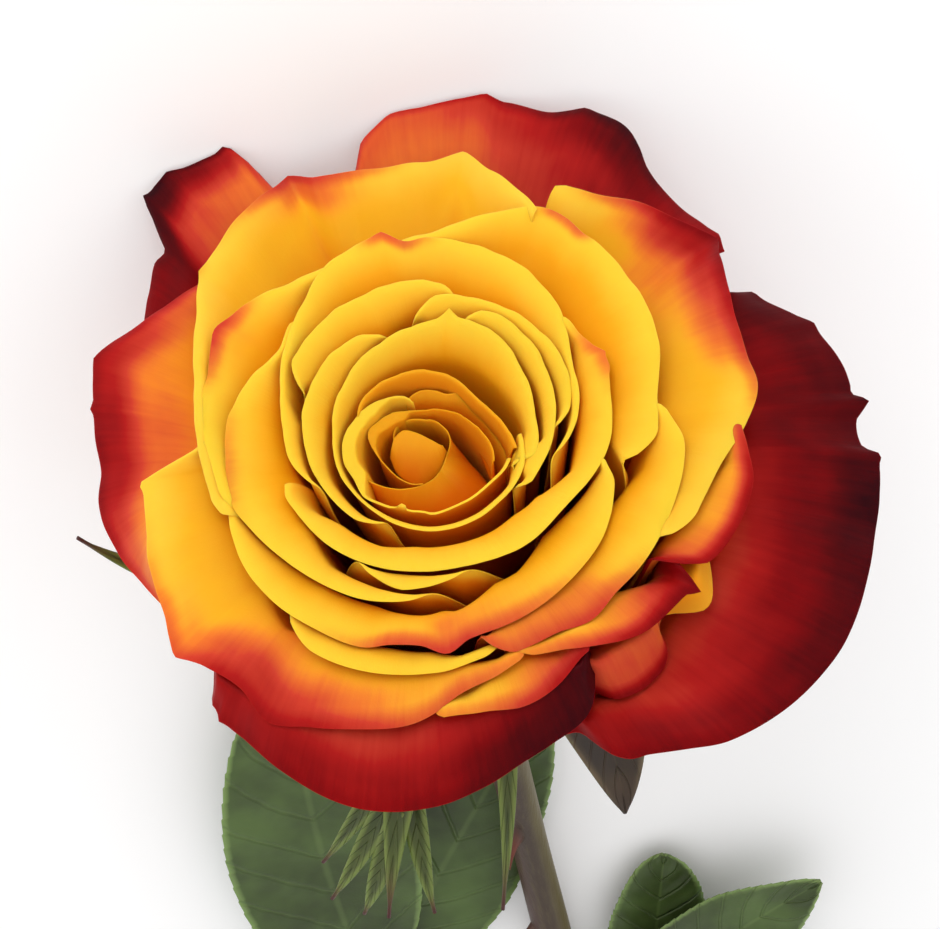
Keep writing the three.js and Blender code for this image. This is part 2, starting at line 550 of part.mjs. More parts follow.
// Compound leaves: a stalk from the stem, with serrated leaflets at its end and along it.
// Each leaflet is root, bend, tip and half width.
const leaves = [
  { name: 'leaf_upper', foot: 128, side: 1, stalk: [[15, 112, 4.2], [30, 92, 4.5]],
    leaflets: [
      { line: [[30, 93, 4.5], [34, 56, 5], [27, 23, 8]], halfWidth: 14.5 },
      { line: [[29, 94, 4.4], [11, 71, 0.9], [-8, 48, 0.8]], halfWidth: 14, fold: 0 },
      { line: [[27, 96.5, 4.3], [48, 104, 5], [70, 119, 1.5]], halfWidth: 11.5 },
    ] },
  { name: 'leaf_middle', foot: 156, side: -1, stalk: [[-6, 130, 5.2], [-11, 108, 6]],
    leaflets: [
      { line: [[-11, 109, 6], [-24, 97, 8.5], [-43, 89, 8]], halfWidth: 9.5 },
      { line: [[-10.5, 115, 5.6], [-16, 98, 3], [-20, 83, 3]], halfWidth: 8, rounded: true },
      { line: [[-10, 115, 5.6], [-26, 118, 7], [-43, 128, 2]], halfWidth: 9.5 },
      { line: [[-6.5, 130, 5.2], [-20, 138, 7], [-38, 152, 2]], halfWidth: 9 },
      { line: [[-6.5, 130, 5.4], [4, 127, 13], [17, 118, 12]], halfWidth: 7.5 },
    ] },
  { name: 'leaf_lower', foot: 264, side: 1, stalk: [[18, 238, 5.2], [32, 208, 5]],
    leaflets: [
      { line: [[32, 209, 5], [40, 184, 7], [52, 160, 1.5]], halfWidth: 13 },
      { line: [[29, 215, 5], [46, 212, 8], [67, 217, 1.5]], halfWidth: 11 },
      { line: [[29, 215, 5], [18, 200, 7], [13, 180, 1.5]], halfWidth: 9 },
      { line: [[18, 238, 5.2], [35, 240, 7], [53, 252, 1.5]], halfWidth: 9.5 },
      { line: [[18, 238, 5.3], [4, 230, 13], [-14, 216, 11]], halfWidth: 8 },
    ] },
];

function leafGeometry(leaf) {
  const foot = stemPoint(leaf.foot);
  const reach = stemRadius + clearance + 0.9;
  const root = foot.clone().add(new THREE.Vector3(leaf.side * reach, 0, 0));
  const away = root.clone().add(new THREE.Vector3(leaf.side * 3.5, -5, 1.2));
  const stalkLine = [root, away, ...leaf.stalk.map((p) => new THREE.Vector3(...p))];
  const curve = new THREE.CatmullRomCurve3(stalkLine);
  const stops = [0, 0.08, 0.2, 0.4, 0.6, 0.8, 1];
  const radii = [1.3, 1.2, 1, 0.9, 0.85, 0.8, 0.75];
  const parts = [sweep(stops.map((t) => curve.getPoint(t)), radii, 6)];
  for (const leaflet of leaf.leaflets) {
    parts.push(leafBlade({
      line: leaflet.line, up: new THREE.Vector3(0, 0, 1), halfWidth: leaflet.halfWidth,
      outline: leaflet.rounded ? rounded : ovate, rows: 16, fold: leaflet.fold ?? 0.16, teeth: 0.25,
      thickness: leafThickness,
    }));
  }
  return join(parts);
}

for (const leaf of leaves) place(leaf.name, leafGeometry(leaf), material('leaf', 0x33491f, 0.55));

// A slanting cut at the stem's end
const cutBlock = toSolid(new THREE.BoxGeometry(30, 30, 30).translate(0, 15, 0).rotateX(35 * deg)
  .translate(0, stemCentre(stemLength).y - 3, stemRadius));
const stemSolid = stemParts.map(toSolid).reduce((whole, next) => whole.add(next)).subtract(cutBlock);
place('stem', toGeometry(stemSolid), material('stem', 0x5d4a33, 0.6));

export default rose;
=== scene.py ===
import math

import bpy
import numpy as np
from mathutils import Matrix, Vector


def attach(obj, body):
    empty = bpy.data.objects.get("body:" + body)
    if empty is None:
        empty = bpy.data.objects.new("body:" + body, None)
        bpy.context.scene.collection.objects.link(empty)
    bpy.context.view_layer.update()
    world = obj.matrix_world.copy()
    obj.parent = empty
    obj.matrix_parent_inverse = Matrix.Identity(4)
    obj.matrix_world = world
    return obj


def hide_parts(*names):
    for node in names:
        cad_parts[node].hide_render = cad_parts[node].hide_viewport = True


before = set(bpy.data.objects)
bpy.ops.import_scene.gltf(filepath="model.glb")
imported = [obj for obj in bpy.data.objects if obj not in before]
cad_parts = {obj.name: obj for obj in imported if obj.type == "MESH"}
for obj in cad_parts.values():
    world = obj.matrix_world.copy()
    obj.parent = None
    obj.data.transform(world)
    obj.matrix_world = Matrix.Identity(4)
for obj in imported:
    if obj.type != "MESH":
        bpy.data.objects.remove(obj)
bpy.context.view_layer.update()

millimetre = 0.001

# Sizes in mm, as in the solid model. The bloom has a frame of its own: its z is the flower's axis,
# its x points to the world's -X, and its origin is the receptacle's foot.
rose = {
    "bloomRise": 29.0,
    "bloomHeight": 36.07,
    "origin": (6.4, 143.9),
    "seatRadius": 7.6,
    "seatHeight": 0.6,
    "seatRadiusStep": -0.4,
    "seatHeightStep": 1.0,
    "domeTop": 48.5,
    "domeRadius": 22.0,
    "domeFall": 0.018,
    "domeDip": 10,
    "squeezeUnder": 2,
    "squeezeFrom": 3,
    "squeeze": 0.38,
    "lowest": 0.1,
    "sideFall": 0.34,
    "stemRadius": 3.0,
    "stemLength": 352.0,
    "neckLength": 12.0,
    "clearance": 0.3,
}

# Shapes of petals from the seat to the margin: shares of the way out (belly, wall, shoulder) and up
# (rise, crest) at the middle points of the quartic curves
profiles = {
    "heart": {"belly": 0.7, "wall": 0.9, "shoulder": 0.91, "rise": 0.4, "crest": 0.96},
    "ring": {"belly": 0.62, "wall": 0.82, "shoulder": 0.84, "rise": 0.42, "crest": 1.0},
    "cup": {"belly": 0.6, "wall": 0.8, "shoulder": 0.82, "rise": 0.44, "crest": 1.04},
    "open": {"belly": 0.58, "wall": 0.79, "shoulder": 0.83, "rise": 0.44, "crest": 1.14},
}

# Each petal as in the solid model. Along the margin, at azimuths in degrees: seats say how far inside
# it is rooted, rim is its radius, high its height where it leaves the dome, tips are (azimuth, size,
# width). ends are the shares of the petal that belong to its two ends, and free tells how they end:
# 0 falls and tucks under the next petal inside, 1 comes to a point, 2 stands free. fold and slim draw
# the face in, bulge swells it out to a radius. blush is how red it is, in hundredths, at the margin
# and 3, 9 and 22 mm further down, 0 where left out: 0 is yellow, then coral and red, and 100 is
# nearly black.
# Deep blush on the heart petals and on the shaded parts of the outer petals is painted shade as well as
# redness.
petals = [
    dict(node="petal_outer_top", slot="petal_outer", shape="open", seats=[(29, 0), (92, 0)],
         ends=(0.08, 0.08), free=(2, 2),
         rim=[(29, 51.6), (31.5, 52.3), (38.9, 53.2), (43, 54.2), (46.8, 56), (49, 58), (51.8, 60.2),
         (54.1, 61), (58.1, 60.9), (62.9, 59.3), (68.2, 60.1), (71.6, 61.2), (77.2, 60.3), (79.9, 59.7),
         (84.4, 59.5), (88.4, 55.7), (90, 51.8), (92, 48)],
         high=[(29, 30), (60, 31), (92, 31)], tips=[(71.6, 1.0, 3), (31.5, 0.6, 2.5), (84.4, 0.5, 2.5),
         (58, 0.4, 2)],
         blush=[(29, 82, 76, 66, 60), (40, 84, 77, 68, 60), (48, 95, 84, 72, 60), (52, 100, 93, 74, 60),
         (56, 100, 86, 68, 54), (62, 88, 70, 58, 48), (68, 78, 60, 48, 40), (73, 72, 54, 40, 34),
         (80, 64, 46, 36, 32), (92, 56, 40, 34, 32)]),
    dict(node="petal_outer_upper_left", slot="petal_outer", shape="open", seats=[(100.5, 0), (137, 0)],
         ends=(0.04, 0.15), free=(0, 0),
         rim=[(100.5, 50), (102.7, 52.6), (104.2, 58), (105.2, 62.4), (108, 63), (111, 63.3), (113.5, 63.6),
         (116.9, 62.3), (118.3, 61), (119.4, 58.6), (120.7, 55.4), (121.6, 53.4), (124, 53.3), (129, 50.8),
         (137, 49.5)],
         high=[(100.5, 29.5), (104, 31.5), (120, 31), (137, 30)], tips=[(105.4, 1.6, 1.6), (113.5, 0.6, 2),
         (118.2, 1.4, 1.3)],
         blush=[(100.5, 46, 34, 30, 30), (103, 62, 42, 30, 30), (106, 95, 70, 36, 32),
         (111, 97, 84, 40, 36), (116, 100, 92, 50, 40), (119, 98, 93, 62, 50), (121, 92, 88, 78, 65),
         (129, 84, 82, 76, 66), (137, 80, 78, 74, 66)]),
    # Its dark red is its own colour, deepened towards nearly black as painted shade; deep down near the
    # bloom, from -86 to -50 degrees, the lower blush turns it brown as painted shade
    dict(node="petal_outer_right", slot="petal_outer", shape="open", seats=[(-86, 0), (28, 0)],
         ends=(0.02, 0.05), free=(2, 0),
         rim=[(-86, 38.5), (-80, 39), (-77, 39.4), (-74.5, 40.2), (-73.4, 42.2), (-72, 44.7), (-70, 46.4),
         (-67, 47.2), (-62, 49.6), (-57, 52.4), (-49, 54.9), (-42, 56.3), (-35, 57.2), (-21, 57.4),
         (-14, 57.9), (-8, 57.8), (-6.4, 56), (-2.4, 56), (-1, 57.2), (0.2, 57.8), (1.6, 56.4), (3, 56.6),
         (5.9, 56.7), (10.4, 56), (13.5, 55.5), (19, 52), (21.6, 51.2), (23.5, 48.6), (28, 47)],
         high=[(-86, 31), (-76, 33), (-67, 32), (-50, 30), (-35, 28), (0, 26), (14, 28), (28, 30)],
         tips=[(-8, 0.7, 1.5), (0.2, 0.6, 1.5), (13.5, 0.5, 2), (21.6, 0.4, 1.5)],
         blush=[(-86, 80, 74, 56, 42), (-72, 82, 74, 56, 38), (-62, 86, 78, 60, 38), (-50, 90, 84, 68, 42),
         (-35, 95, 91, 80, 50), (-14, 100, 96, 86, 60), (0, 96, 92, 85, 68), (10, 93, 90, 84, 70),
         (28, 90, 88, 84, 70)]),
    dict(node="petal_outer_left", slot="petal_blush", shape="open", seats=[(116, 1), (206, 1)],
         ends=(0.05, 0.1),
         rim=[(116, 45.8), (122, 44.9), (134, 47.2), (143, 49.8), (151, 47.6), (162, 44.4), (169, 44.3),
         (179, 42.2), (188, 39.6), (198, 38), (206, 38)],
         high=[(116, 35), (150, 34), (206, 37)], tips=[(143, 0.5, 3), (151, 0.6, 1.5)],
         blush=[(116, 56, 30, 12, 8), (130, 66, 42, 15, 10), (142, 76, 62, 28, 10), (152, 82, 76, 40, 12),
         (166, 80, 70, 36, 12), (178, 72, 52, 26, 12), (194, 45, 30, 18, 15), (206, 40, 30, 18, 15)]),
    dict(node="petal_outer_lower", slot="petal_outer", shape="open", seats=[(212, 1), (294, 1)],
         ends=(0.04, 0.1), free=(2, 2),
         rim=[(212, 38.5), (215.5, 41), (219, 42.8), (225, 43.4), (232, 44.7), (246, 47), (258, 46.5),
         (266, 44.8), (273, 43), (279, 42), (285, 41.3), (288, 40.3), (290.5, 38.4), (294, 35)],
         high=[(212, 38), (250, 37), (294, 39)], tips=[(216, 0.7, 2), (219, 0.5, 1.5)],
         blush=[(212, 80, 76, 68, 55), (222, 80, 76, 62, 40), (235, 80, 74, 56, 22), (250, 82, 76, 58, 20),
         (260, 86, 78, 62, 22), (268, 92, 86, 68, 34), (275, 97, 93, 76, 42), (284, 98, 95, 90, 70),
         (294, 98, 96, 92, 85)]),
    # Blush held near 50 deep down from -70 to -54 degrees darkens the inside of the fold as painted shade
    dict(node="petal_outer_fold", slot="petal_blush", shape="cup", seats=[(-70, 0.9), (-31, 0.9)],
         ends=(0.05, 0.05), free=(2, 2),
         rim=[(-70, 35), (-67.5, 37.6), (-66.4, 39), (-63.5, 40), (-60.7, 40.4), (-55.4, 40.3), (-52.2, 39),
         (-50.6, 37), (-49, 36.2), (-47.3, 36.6), (-46, 37.9), (-44.9, 39.1), (-43.3, 40.5), (-41.3, 40.8),
         (-37.7, 39.7), (-34.4, 38.4), (-31, 37)],
         high=[(-70, 33.5), (-50, 34.5), (-46, 36), (-31, 36)],
         blush=[(-70, 80, 50, 50, 50), (-62, 82, 50, 46, 50), (-54, 80, 50, 46, 40), (-50, 60, 30, 20, 20),
         (-47.5, 10, 5, 10, 10), (-31, 5, 5, 10, 10)]),
    dict(node="petal_lower_right", slot="petal_middle", shape="cup", seats=[(253, 2), (297, 2)],
         ends=(0.22, 0.1),
         rim=[(253, 38.4), (257, 38.4), (262, 37.8), (269, 37.6), (277, 38.2), (284, 37.6), (291, 36.2),
         (297, 36)],
         slim=[(253, 1.4), (259, 1.9), (275, 1.6), (297, 1.2)],
         blush=[(253, 30, 10), (268, 30, 6), (276, 50, 20), (285, 66, 40, 5), (297, 70, 50, 12)]),
    dict(node="petal_right_low", slot="petal_middle", shape="cup", seats=[(-84, 3.7), (-72, 3.3),
         (-41.4, 1.7)], ends=(0.1, 0.1), free=(0, 2),
         rim=[(-84, 32.4), (-78, 33.3), (-72, 34.4), (-69, 35.2), (-60, 37.7), (-55.8, 38.6), (-50.8, 39),
         (-46, 39.4), (-43.4, 39.9), (-42.4, 38.6), (-41.4, 36.6)],
         tips=[(-43.6, 0.8, 2)],
         blush=[(-84, 20, 10, 5, 5), (-72, 40, 12, 5, 5), (-60, 66, 24, 10, 10), (-54, 78, 36, 10, 10),
         (-48, 84, 60, 14, 10), (-43, 88, 80, 40, 20), (-40.3, 84, 75, 50, 25)]),
    dict(node="petal_right", slot="petal_middle", shape="cup", seats=[(-46, 3.1), (-3, 2.2)],
         ends=(0.07, 0.12), free=(0, 0),
         rim=[(-46, 34.6), (-42, 36.8), (-40, 38.3), (-38, 39.8), (-30, 41.3), (-20, 42.1), (-14, 41.2),
         (-9, 40.6), (-3, 40.6)],
         slim=[(-28, 0), (-18, 1.2), (-8, 1.2), (-3, 0.8)],
         blush=[(-45, 76, 60, 20), (-38, 78, 40, 6), (-30, 76, 25, 4), (-20, 72, 20, 2), (-12, 60, 12),
         (-3, 30, 5)]),
    dict(node="petal_lower_left", slot="petal_middle", shape="cup", seats=[(166, 2.2), (288, 3.2)],
         ends=(0.03, 0.08), free=(2, 0),
         rim=[(166, 28), (168, 29.6), (170.4, 33.4), (172, 36.4), (175, 36.7), (180, 36.9), (188, 37.8),
         (200, 39.4), (207, 41), (213, 39.8), (221, 39.3), (228, 41.1), (236, 40), (245, 39), (253, 38.3),
         (259, 37.1), (265, 35.2), (272, 34.2), (280, 33.8), (288, 33.8)],
         tips=[(172.2, 0.6, 1.6), (207, 0.5, 3)],
         blush=[(166, 5), (180, 12, 2), (195, 25, 8), (205, 45, 25, 3), (215, 65, 50, 15),
         (225, 72, 60, 25), (235, 70, 50, 15), (245, 58, 35, 5), (255, 45, 20, 2), (288, 30, 10)]),
    dict(node="petal_upper_left", slot="petal_middle", shape="cup", seats=[(54, 3.3), (196, 3.6)],
         ends=(0.03, 0.06), free=(2, 0),
         rim=[(54, 37), (60, 40.2), (66, 43.6), (73, 47.6), (79, 46.4), (86, 46.8), (92, 48.6), (97, 49.4),
         (100, 52.6), (104, 51.2), (112, 47), (123, 42.8), (132, 37.2), (142, 33.2), (154, 30.3),
         (166, 28.9), (176, 28.2), (186, 27.8), (196, 28)],
         tips=[(73, 2.8, 6), (100, 2.2, 3), (123, 0.8, 2.5)], slim=[(155, 0), (166, 2.2), (175, 2.6),
         (196, 2.2)],
         blush=[(54, 2), (74, 3), (80, 8), (86, 25, 6), (93, 48, 24, 2), (98, 56, 38, 6), (101, 60, 40, 5),
         (104, 50, 20, 2), (110, 22, 6), (120, 5), (123, 20), (126, 2), (196, 2)]),
    dict(node="petal_upper_right", slot="petal_middle", shape="cup", seats=[(-46, 4.1), (54.5, 2.2)],
         ends=(0.1, 0.025), free=(0, 2),
         rim=[(-46, 36), (-36, 36.2), (-28, 36.6), (-18, 38.2), (-9, 41.2), (-1, 43.6), (5, 43.6),
         (12, 44.3), (20, 46.6), (27, 49.6), (31, 51.8), (36, 50), (43, 47.2), (48, 44.6), (52, 43.8),
         (54.5, 43)],
         tips=[(31, 0.7, 2.5), (53.2, 0.5, 2)],
         blush=[(-46, 2), (-10, 5), (-2, 30, 6), (4, 44, 20, 3), (10, 60, 38, 8), (18, 72, 50, 16),
         (26, 80, 62, 24, 2), (32, 84, 68, 30, 2), (37, 76, 56, 20), (41, 60, 30, 5), (46, 38, 8),
         (54.5, 5)]),
    dict(node="petal_rim_right", slot="petal_inner", shape="cup", seats=[(-92, 5.1), (2, 5.1)],
         ends=(0.08, 0.12),
         rim=[(-92, 31.6), (-84, 32.2), (-76, 32.3), (-70, 32.5), (-63, 33.5), (-55, 33.1), (-47, 33.4),
         (-32, 33.5), (-19, 33.6), (-12, 33), (-4, 31.8), (2, 31.8)],
         slim=[(-40, 0.4), (-10, 0.6), (2, 1)],
         blush=[(-92, 45, 30, 5), (-70, 48, 32, 5), (-60, 50, 30, 3), (-50, 30, 10), (-40, 5), (2, 0)]),
    dict(node="petal_broad_right", slot="petal_inner", shape="cup", seats=[(-32, 6.1), (10, 6), (88, 4.4)],
         ends=(0.1, 0.05),
         rim=[(-32, 30.6), (-22, 30.2), (-12, 30.2), (-3, 30.7), (9, 32.7), (20, 34.2), (32, 35.6),
         (42, 36.8), (48, 38), (53, 38.3), (58, 36.4), (64, 33.2), (72, 30.8), (80, 29.6), (88, 29.2)],
         blush=[(-32, 0), (38, 0), (44, 40), (52, 36), (57, 0), (88, 0)]),
    dict(node="petal_rim_below", slot="petal_inner", shape="ring", seats=[(215, 4.6), (286, 4.7)],
         ends=(0.15, 0.22),
         rim=[(215, 30.6), (222, 31), (229, 31.6), (237, 32.2), (247, 32.5), (257, 32.4), (266, 32.3),
         (274, 31.8), (280, 31.2), (286, 30.6)],
         slim=[(215, 1.8), (230, 0.8), (240, 0)],
         blush=[(215, 5), (286, 12)]),
    dict(node="petal_near", slot="petal_inner", shape="ring", seats=[(183, 5.6), (330, 7.1), (342, 7.1)],
         ends=(0.05, 0.05), free=(1, 0),
         rim=[(183, 26.2), (189, 26.5), (196, 27.2), (206, 28.2), (218, 28.9), (230, 29.2), (243, 29.7),
         (250, 29), (258, 29.1), (264, 30.3), (270, 29), (284, 28.8), (302, 28.2), (312, 27.8), (320, 27.1),
         (325, 26.5), (331, 25.6), (336, 24.6), (342, 24)],
         blush=[(183, 0), (225, 5), (240, 25, 4), (250, 45, 10), (258, 48, 14), (264, 52, 32, 2),
         (270, 50, 24), (284, 42, 20), (300, 20, 5), (320, 4), (342, 0)]),
    dict(node="petal_upper_left_inner", slot="petal_inner", shape="ring", seats=[(97, 4.8), (194, 4.8)],
         ends=(0.06, 0.08),
         rim=[(97, 28.2), (104, 28.3), (112, 29), (121, 30.3), (129, 31.4), (134, 32.4), (138, 31.8),
         (146, 30.2), (154, 29.3), (162, 28.3), (170, 27.3), (180, 26.6), (194, 26.4)],
         slim=[(160, 0), (174, 1.6), (194, 1.6)],
         blush=[(97, 0), (120, 6), (127, 30, 6), (132, 52, 16), (138, 50, 14), (146, 30, 8), (154, 10, 2),
         (194, 0)]),
    dict(node="petal_left_inner", slot="petal_inner", shape="ring", seats=[(112, 6), (132, 6.2),
         (278, 7.6)], ends=(0.08, 0.16),
         rim=[(112, 26.9), (122, 24.6), (132, 22.7), (142, 23.6), (151, 24.5), (162, 25), (174, 25.2),
         (186, 25.6), (198, 24.7), (212, 24), (228, 23.8), (242, 24), (256, 24.7), (267, 25.2),
         (278, 25.2)],
         slim=[(250, 0), (262, 0.9), (278, 1.1)],
         blush=[(112, 0), (132, 0), (150, 5), (162, 22, 8), (175, 30, 12), (186, 22, 6), (200, 4),
         (276, 0)]),
    dict(node="petal_sliver", slot="petal_inner", shape="ring", seats=[(218, 8.1), (296, 8.6)],
         ends=(0.3, 0.4),
         rim=[(218, 20.9), (234, 21.3), (247, 21.8), (260, 22.2), (273, 22.6), (285, 23), (296, 23.2)],
         blush=[(218, 0), (296, 0)]),
    dict(node="petal_ring_right", slot="petal_inner", shape="ring", seats=[(187, 9), (285, 9.6), (350, 8.1),
         (408, 6.3)], ends=(0.09, 0.12), free=(1, 0),
         rim=[(187, 18.4), (192, 18.9), (200, 18.8), (208, 18.8), (222, 19), (240, 19.1), (258, 19.3),
         (274, 19.7), (288, 20.5), (299, 21.2), (312, 21.4), (320, 21.9), (330, 23.1), (341, 24.2),
         (350, 24.5), (358, 24.6), (363, 25), (367, 25.7), (373, 25.6), (380, 25.1), (393, 25.1),
         (408, 25.6)],
         tips=[(372, 0.7, 3)], slim=[(187, 1.6), (200, 0.6), (210, 0), (370, 0), (378, 0.8), (395, 0.8),
         (408, 0)],
         blush=[(187, 0), (350, 0), (362, 20, 2), (368, 36, 10), (374, 40, 12), (380, 25, 4), (390, 0),
         (404, 0)]),
    dict(node="petal_ring_top", slot="petal_inner", shape="ring", seats=[(-46, 10), (-10, 9.1), (12, 8.6),
         (44, 7.4), (133, 7.4), (193, 10.2), (212, 10.3)], ends=(0.12, 0.1),
         rim=[(-46, 19.4), (-34, 19.8), (-22, 20), (-10, 20.3), (2, 20.9), (14, 21.7), (24, 23.4),
         (33, 25.1), (44, 26.3), (58, 28), (68, 28.9), (75, 29), (81, 28.6), (88, 30), (97, 29.4),
         (104, 28.4), (115, 25.6), (126, 22.9), (138, 20.8), (150, 19), (158, 18.2), (166, 17.6), (180, 17),
         (196, 16.3), (212, 15.8)],
         tips=[(88, 1.2, 5)],
         blush=[(-46, 0), (70, 0), (76, 22), (82, 40), (88, 45, 5), (93, 20), (98, 0), (212, 0)]),
    dict(node="petal_fold_right", slot="petal_inner", shape="ring", seats=[(-18, 9.9), (12, 9.7),
         (88, 9.6)], ends=(0.08, 0.1),
         rim=[(-18, 17.2), (-13, 18.2), (3, 20.1), (14, 20.5), (28, 20.7), (40, 20.8), (50, 20.6),
         (60, 20.4), (70, 19.9), (78, 19.4), (88, 19)],
         blush=[(-18, 0), (88, 0)]),
    dict(node="petal_fold_top", slot="petal_inner", shape="ring", seats=[(60, 8.6), (133, 8.5),
         (150, 9.35)], ends=(0.08, 0.12),
         rim=[(60, 21.6), (72, 22), (84, 22.1), (98, 21.9), (110, 21.6), (122, 20.9), (136, 19.8),
         (150, 18.1)],
         blush=[(60, 0), (150, 0)]),
    dict(node="petal_inner_left", slot="petal_inner", shape="ring", seats=[(84, 9.7), (152, 10.3),
         (193, 11.3), (250, 11.6)], ends=(0.1, 0.12),
         rim=[(84, 18), (96, 17.4), (110, 17), (125, 16.8), (140, 16.4), (153, 15.8), (168, 15),
         (184, 14.5), (200, 14), (218, 13.9), (234, 14.1), (250, 14.4)],
         blush=[(84, 0), (250, 0)]),
    dict(node="petal_inner_right", slot="petal_inner", shape="ring", seats=[(-50, 10.8), (66, 10.8)],
         ends=(0.06, 0.08),
         rim=[(-50, 15.6), (-41, 15.8), (-30, 16.2), (-20, 16.8), (-7, 17.3), (6, 17.9), (16, 18.3),
         (25, 18.8), (36, 19.1), (47, 19.3), (57, 18.8), (66, 18.6)],
         blush=[(-50, 0), (66, 0)]),
    dict(node="petal_inner_top", slot="petal_inner", shape="ring", seats=[(-42, 11.8), (70, 11.8),
         (152, 11.4), (250, 12.2), (348, 12.7)], ends=(0.03, 0.03), free=(0, 1),
         rim=[(-42, 15.3), (-35, 15.3), (-26, 15.2), (-14, 15), (-1, 14.8), (12, 15.3), (25, 15.9),
         (35, 16.6), (43, 17), (51, 17.2), (61, 17.2), (66, 17.2), (71, 16.9), (85, 15.7), (99, 14.8),
         (113, 14.2), (122, 13.6), (134, 12.9), (153, 12), (164, 11.6), (181, 11.4), (193, 11.3),
         (203, 11.2), (223, 11.4), (242, 12.2), (262, 13.1), (276, 13.6), (291, 13.8), (303, 13.8),
         (315, 14), (327, 13.9), (335, 13.5), (348, 12.8)],
         tips=[(66, 1.3, 5)],
         blush=[(-42, 0), (348, 0)]),
    # The heart's petals grow redder with depth through their blush, as painted shade deep in the bloom
    dict(node="petal_heart_top", slot="petal_heart", shape="ring", seats=[(-21, 13.2), (154, 12.4)],
         ends=(0.04, 0.1), free=(1, 0),
         rim=[(-21, 12.3), (-4, 10.8), (14, 9.8), (30, 9.3), (45, 9.7), (60, 10.2), (77, 10.4), (94, 10.5),
         (110, 10.5), (127, 10.3), (140, 10.2), (154, 10)],
         blush=[(-21, 5, 10, 30, 40), (154, 5, 10, 30, 40)]),
    dict(node="petal_heart_near", slot="petal_inner", shape="ring", seats=[(90, 13.5), (160, 13.5),
         (332, 13.3)], ends=(0.05, 0.03), free=(1, 1),
         rim=[(90, 7), (96, 7.9), (108, 8.4), (126, 9.2), (147, 9.9), (159, 10.2), (172, 10.4), (181, 10.4),
         (195, 10), (206, 10.3), (213, 10.5), (223, 10.1), (232, 9.9), (246, 9.7), (258, 9.8), (265, 10.4),
         (281, 10.2), (295, 10.5), (311, 10.8), (324, 11.6), (332, 11.8)],
         tips=[(240, -1.7, 7)], fold=[(110, 0), (130, 1.2), (195, 1.4), (212, 0)],
         blush=[(90, 5, 10, 25, 40), (332, 5, 10, 25, 40)]),
    dict(node="petal_heart_lip", slot="petal_heart", shape="heart", seats=[(-30, 14.2), (92, 14.6),
         (160, 14.9), (200, 15.3), (251, 15.6)], ends=(0.06, 0.05), free=(1, 1),
         rim=[(-30, 9.6), (-16, 8.8), (4, 7.6), (17, 7), (43, 6.5), (63, 6.1), (80, 6), (96, 6.2),
         (109, 6.6), (133, 7.4), (147, 7.7), (153, 7.5), (161, 6.9), (172, 6.1), (190, 5.2), (214, 4.7),
         (235, 4.4), (251, 3.9)],
         fold=[(96, 0), (109, 1.2), (133, 1.4), (150, 1.1), (160, 0.4), (172, 0)],
         blush=[(-30, 5, 10, 25, 40), (251, 0, 0, 10, 40)]),
    dict(node="petal_heart_curl", slot="petal_heart", shape="heart", seats=[(199, 14.6), (258, 15),
         (380, 15.5), (498, 15.7)], ends=(0.03, 0.03), free=(1, 1),
         rim=[(199, 8.6), (208, 7.8), (223, 6.5), (240, 5.1), (258, 3.8), (278, 2.9), (298, 2.3),
         (328, 2.1), (358, 2.5), (378, 3.5), (394, 4.2), (417, 4.7), (441, 5), (460, 5.3), (478, 5.5),
         (489, 5.3), (498, 4.9)],
         bulge=[(199, 9), (258, 9.4), (300, 9.7), (320, 9.8), (328, 9), (337, 7.4), (350, 6.2), (363, 5.3),
         (403, 4.4), (430, 0)],
         blush=[(199, 0, 2, 10, 30), (498, 0, 2, 10, 30)]),
]


# A colour written as six hex digits of sRGB, as linear values
def colour(code):
    parts = [int(code[k:k + 2], 16) / 255 for k in (0, 2, 4)]
    return [p / 12.92 if p <= 0.04045 else ((p + 0.055) / 1.055) ** 2.4 for p in parts] + [1.0]


# A soft step: 3 t t - 2 t t t between 0 and 1
def smooth(x):
    t = np.clip(x, 0, 1)
    return t * t * (3 - 2 * t)


# Straight interpolation in a list of (position, value) pairs
def along(pairs, position):
    return np.interp(position, [p[0] for p in pairs], [p[1] for p in pairs])


# Rounded interpolation: cubic between the pairs, with each slope taken from both neighbours
def flowing(pairs, position):
    at = np.array([p[0] for p in pairs], float)
    value = np.array([p[1] for p in pairs], float)
    last = len(at) - 1
    before = np.maximum(np.arange(last + 1) - 1, 0)
    after = np.minimum(np.arange(last + 1) + 1, last)
    slope = (value[after] - value[before]) / (at[after] - at[before])
    i = np.clip(np.searchsorted(at, position, side="left") - 1, 0, last - 1)
    width = at[i + 1] - at[i]
    t = np.clip((position - at[i]) / width, 0, 1)
    u = 1 - t
    return (value[i] * (1 + 2 * t) * u * u + value[i + 1] * (3 - 2 * t) * t * t
            + slope[i] * width * t * u * u - slope[i + 1] * width * t * t * u)


# A smooth line through points, each coordinate rounded by the function above
def throughPoints(points, count):
    pts = np.array(points, float)
    knots = np.arange(len(pts))
    at = np.linspace(0, len(pts) - 1, count)
    return np.stack([flowing(list(zip(knots, pts[:, axis])), at) for axis in range(3)], 1)


# A Bezier curve of the fourth degree through its first and last value
def quartic(values, t):
    u = 1 - t
    a, b, c, d, e = values
    return a * u ** 4 + 4 * b * t * u ** 3 + 6 * c * t * t * u * u + 4 * d * t ** 3 * u + e * t ** 4


# The dome that the margins end on: a parabola out from its ridge and another in to its middle
def domeHeight(radius):
    over = rose["domeTop"] - rose["domeFall"] * (radius - rose["domeRadius"]) ** 2
    within = rose["domeTop"] - rose["domeDip"] * (1 - radius / rose["domeRadius"]) ** 2
    return np.where(radius > rose["domeRadius"], over, within)


# The bloom's three axes in the world; the last runs up through the middle of the bloom
rise = math.radians(rose["bloomRise"])
bloomAxes = np.array([
    [-1, 0, 0],
    [0, -math.sin(rise), -math.cos(rise)],
    [0, -math.cos(rise), math.sin(rise)],
])


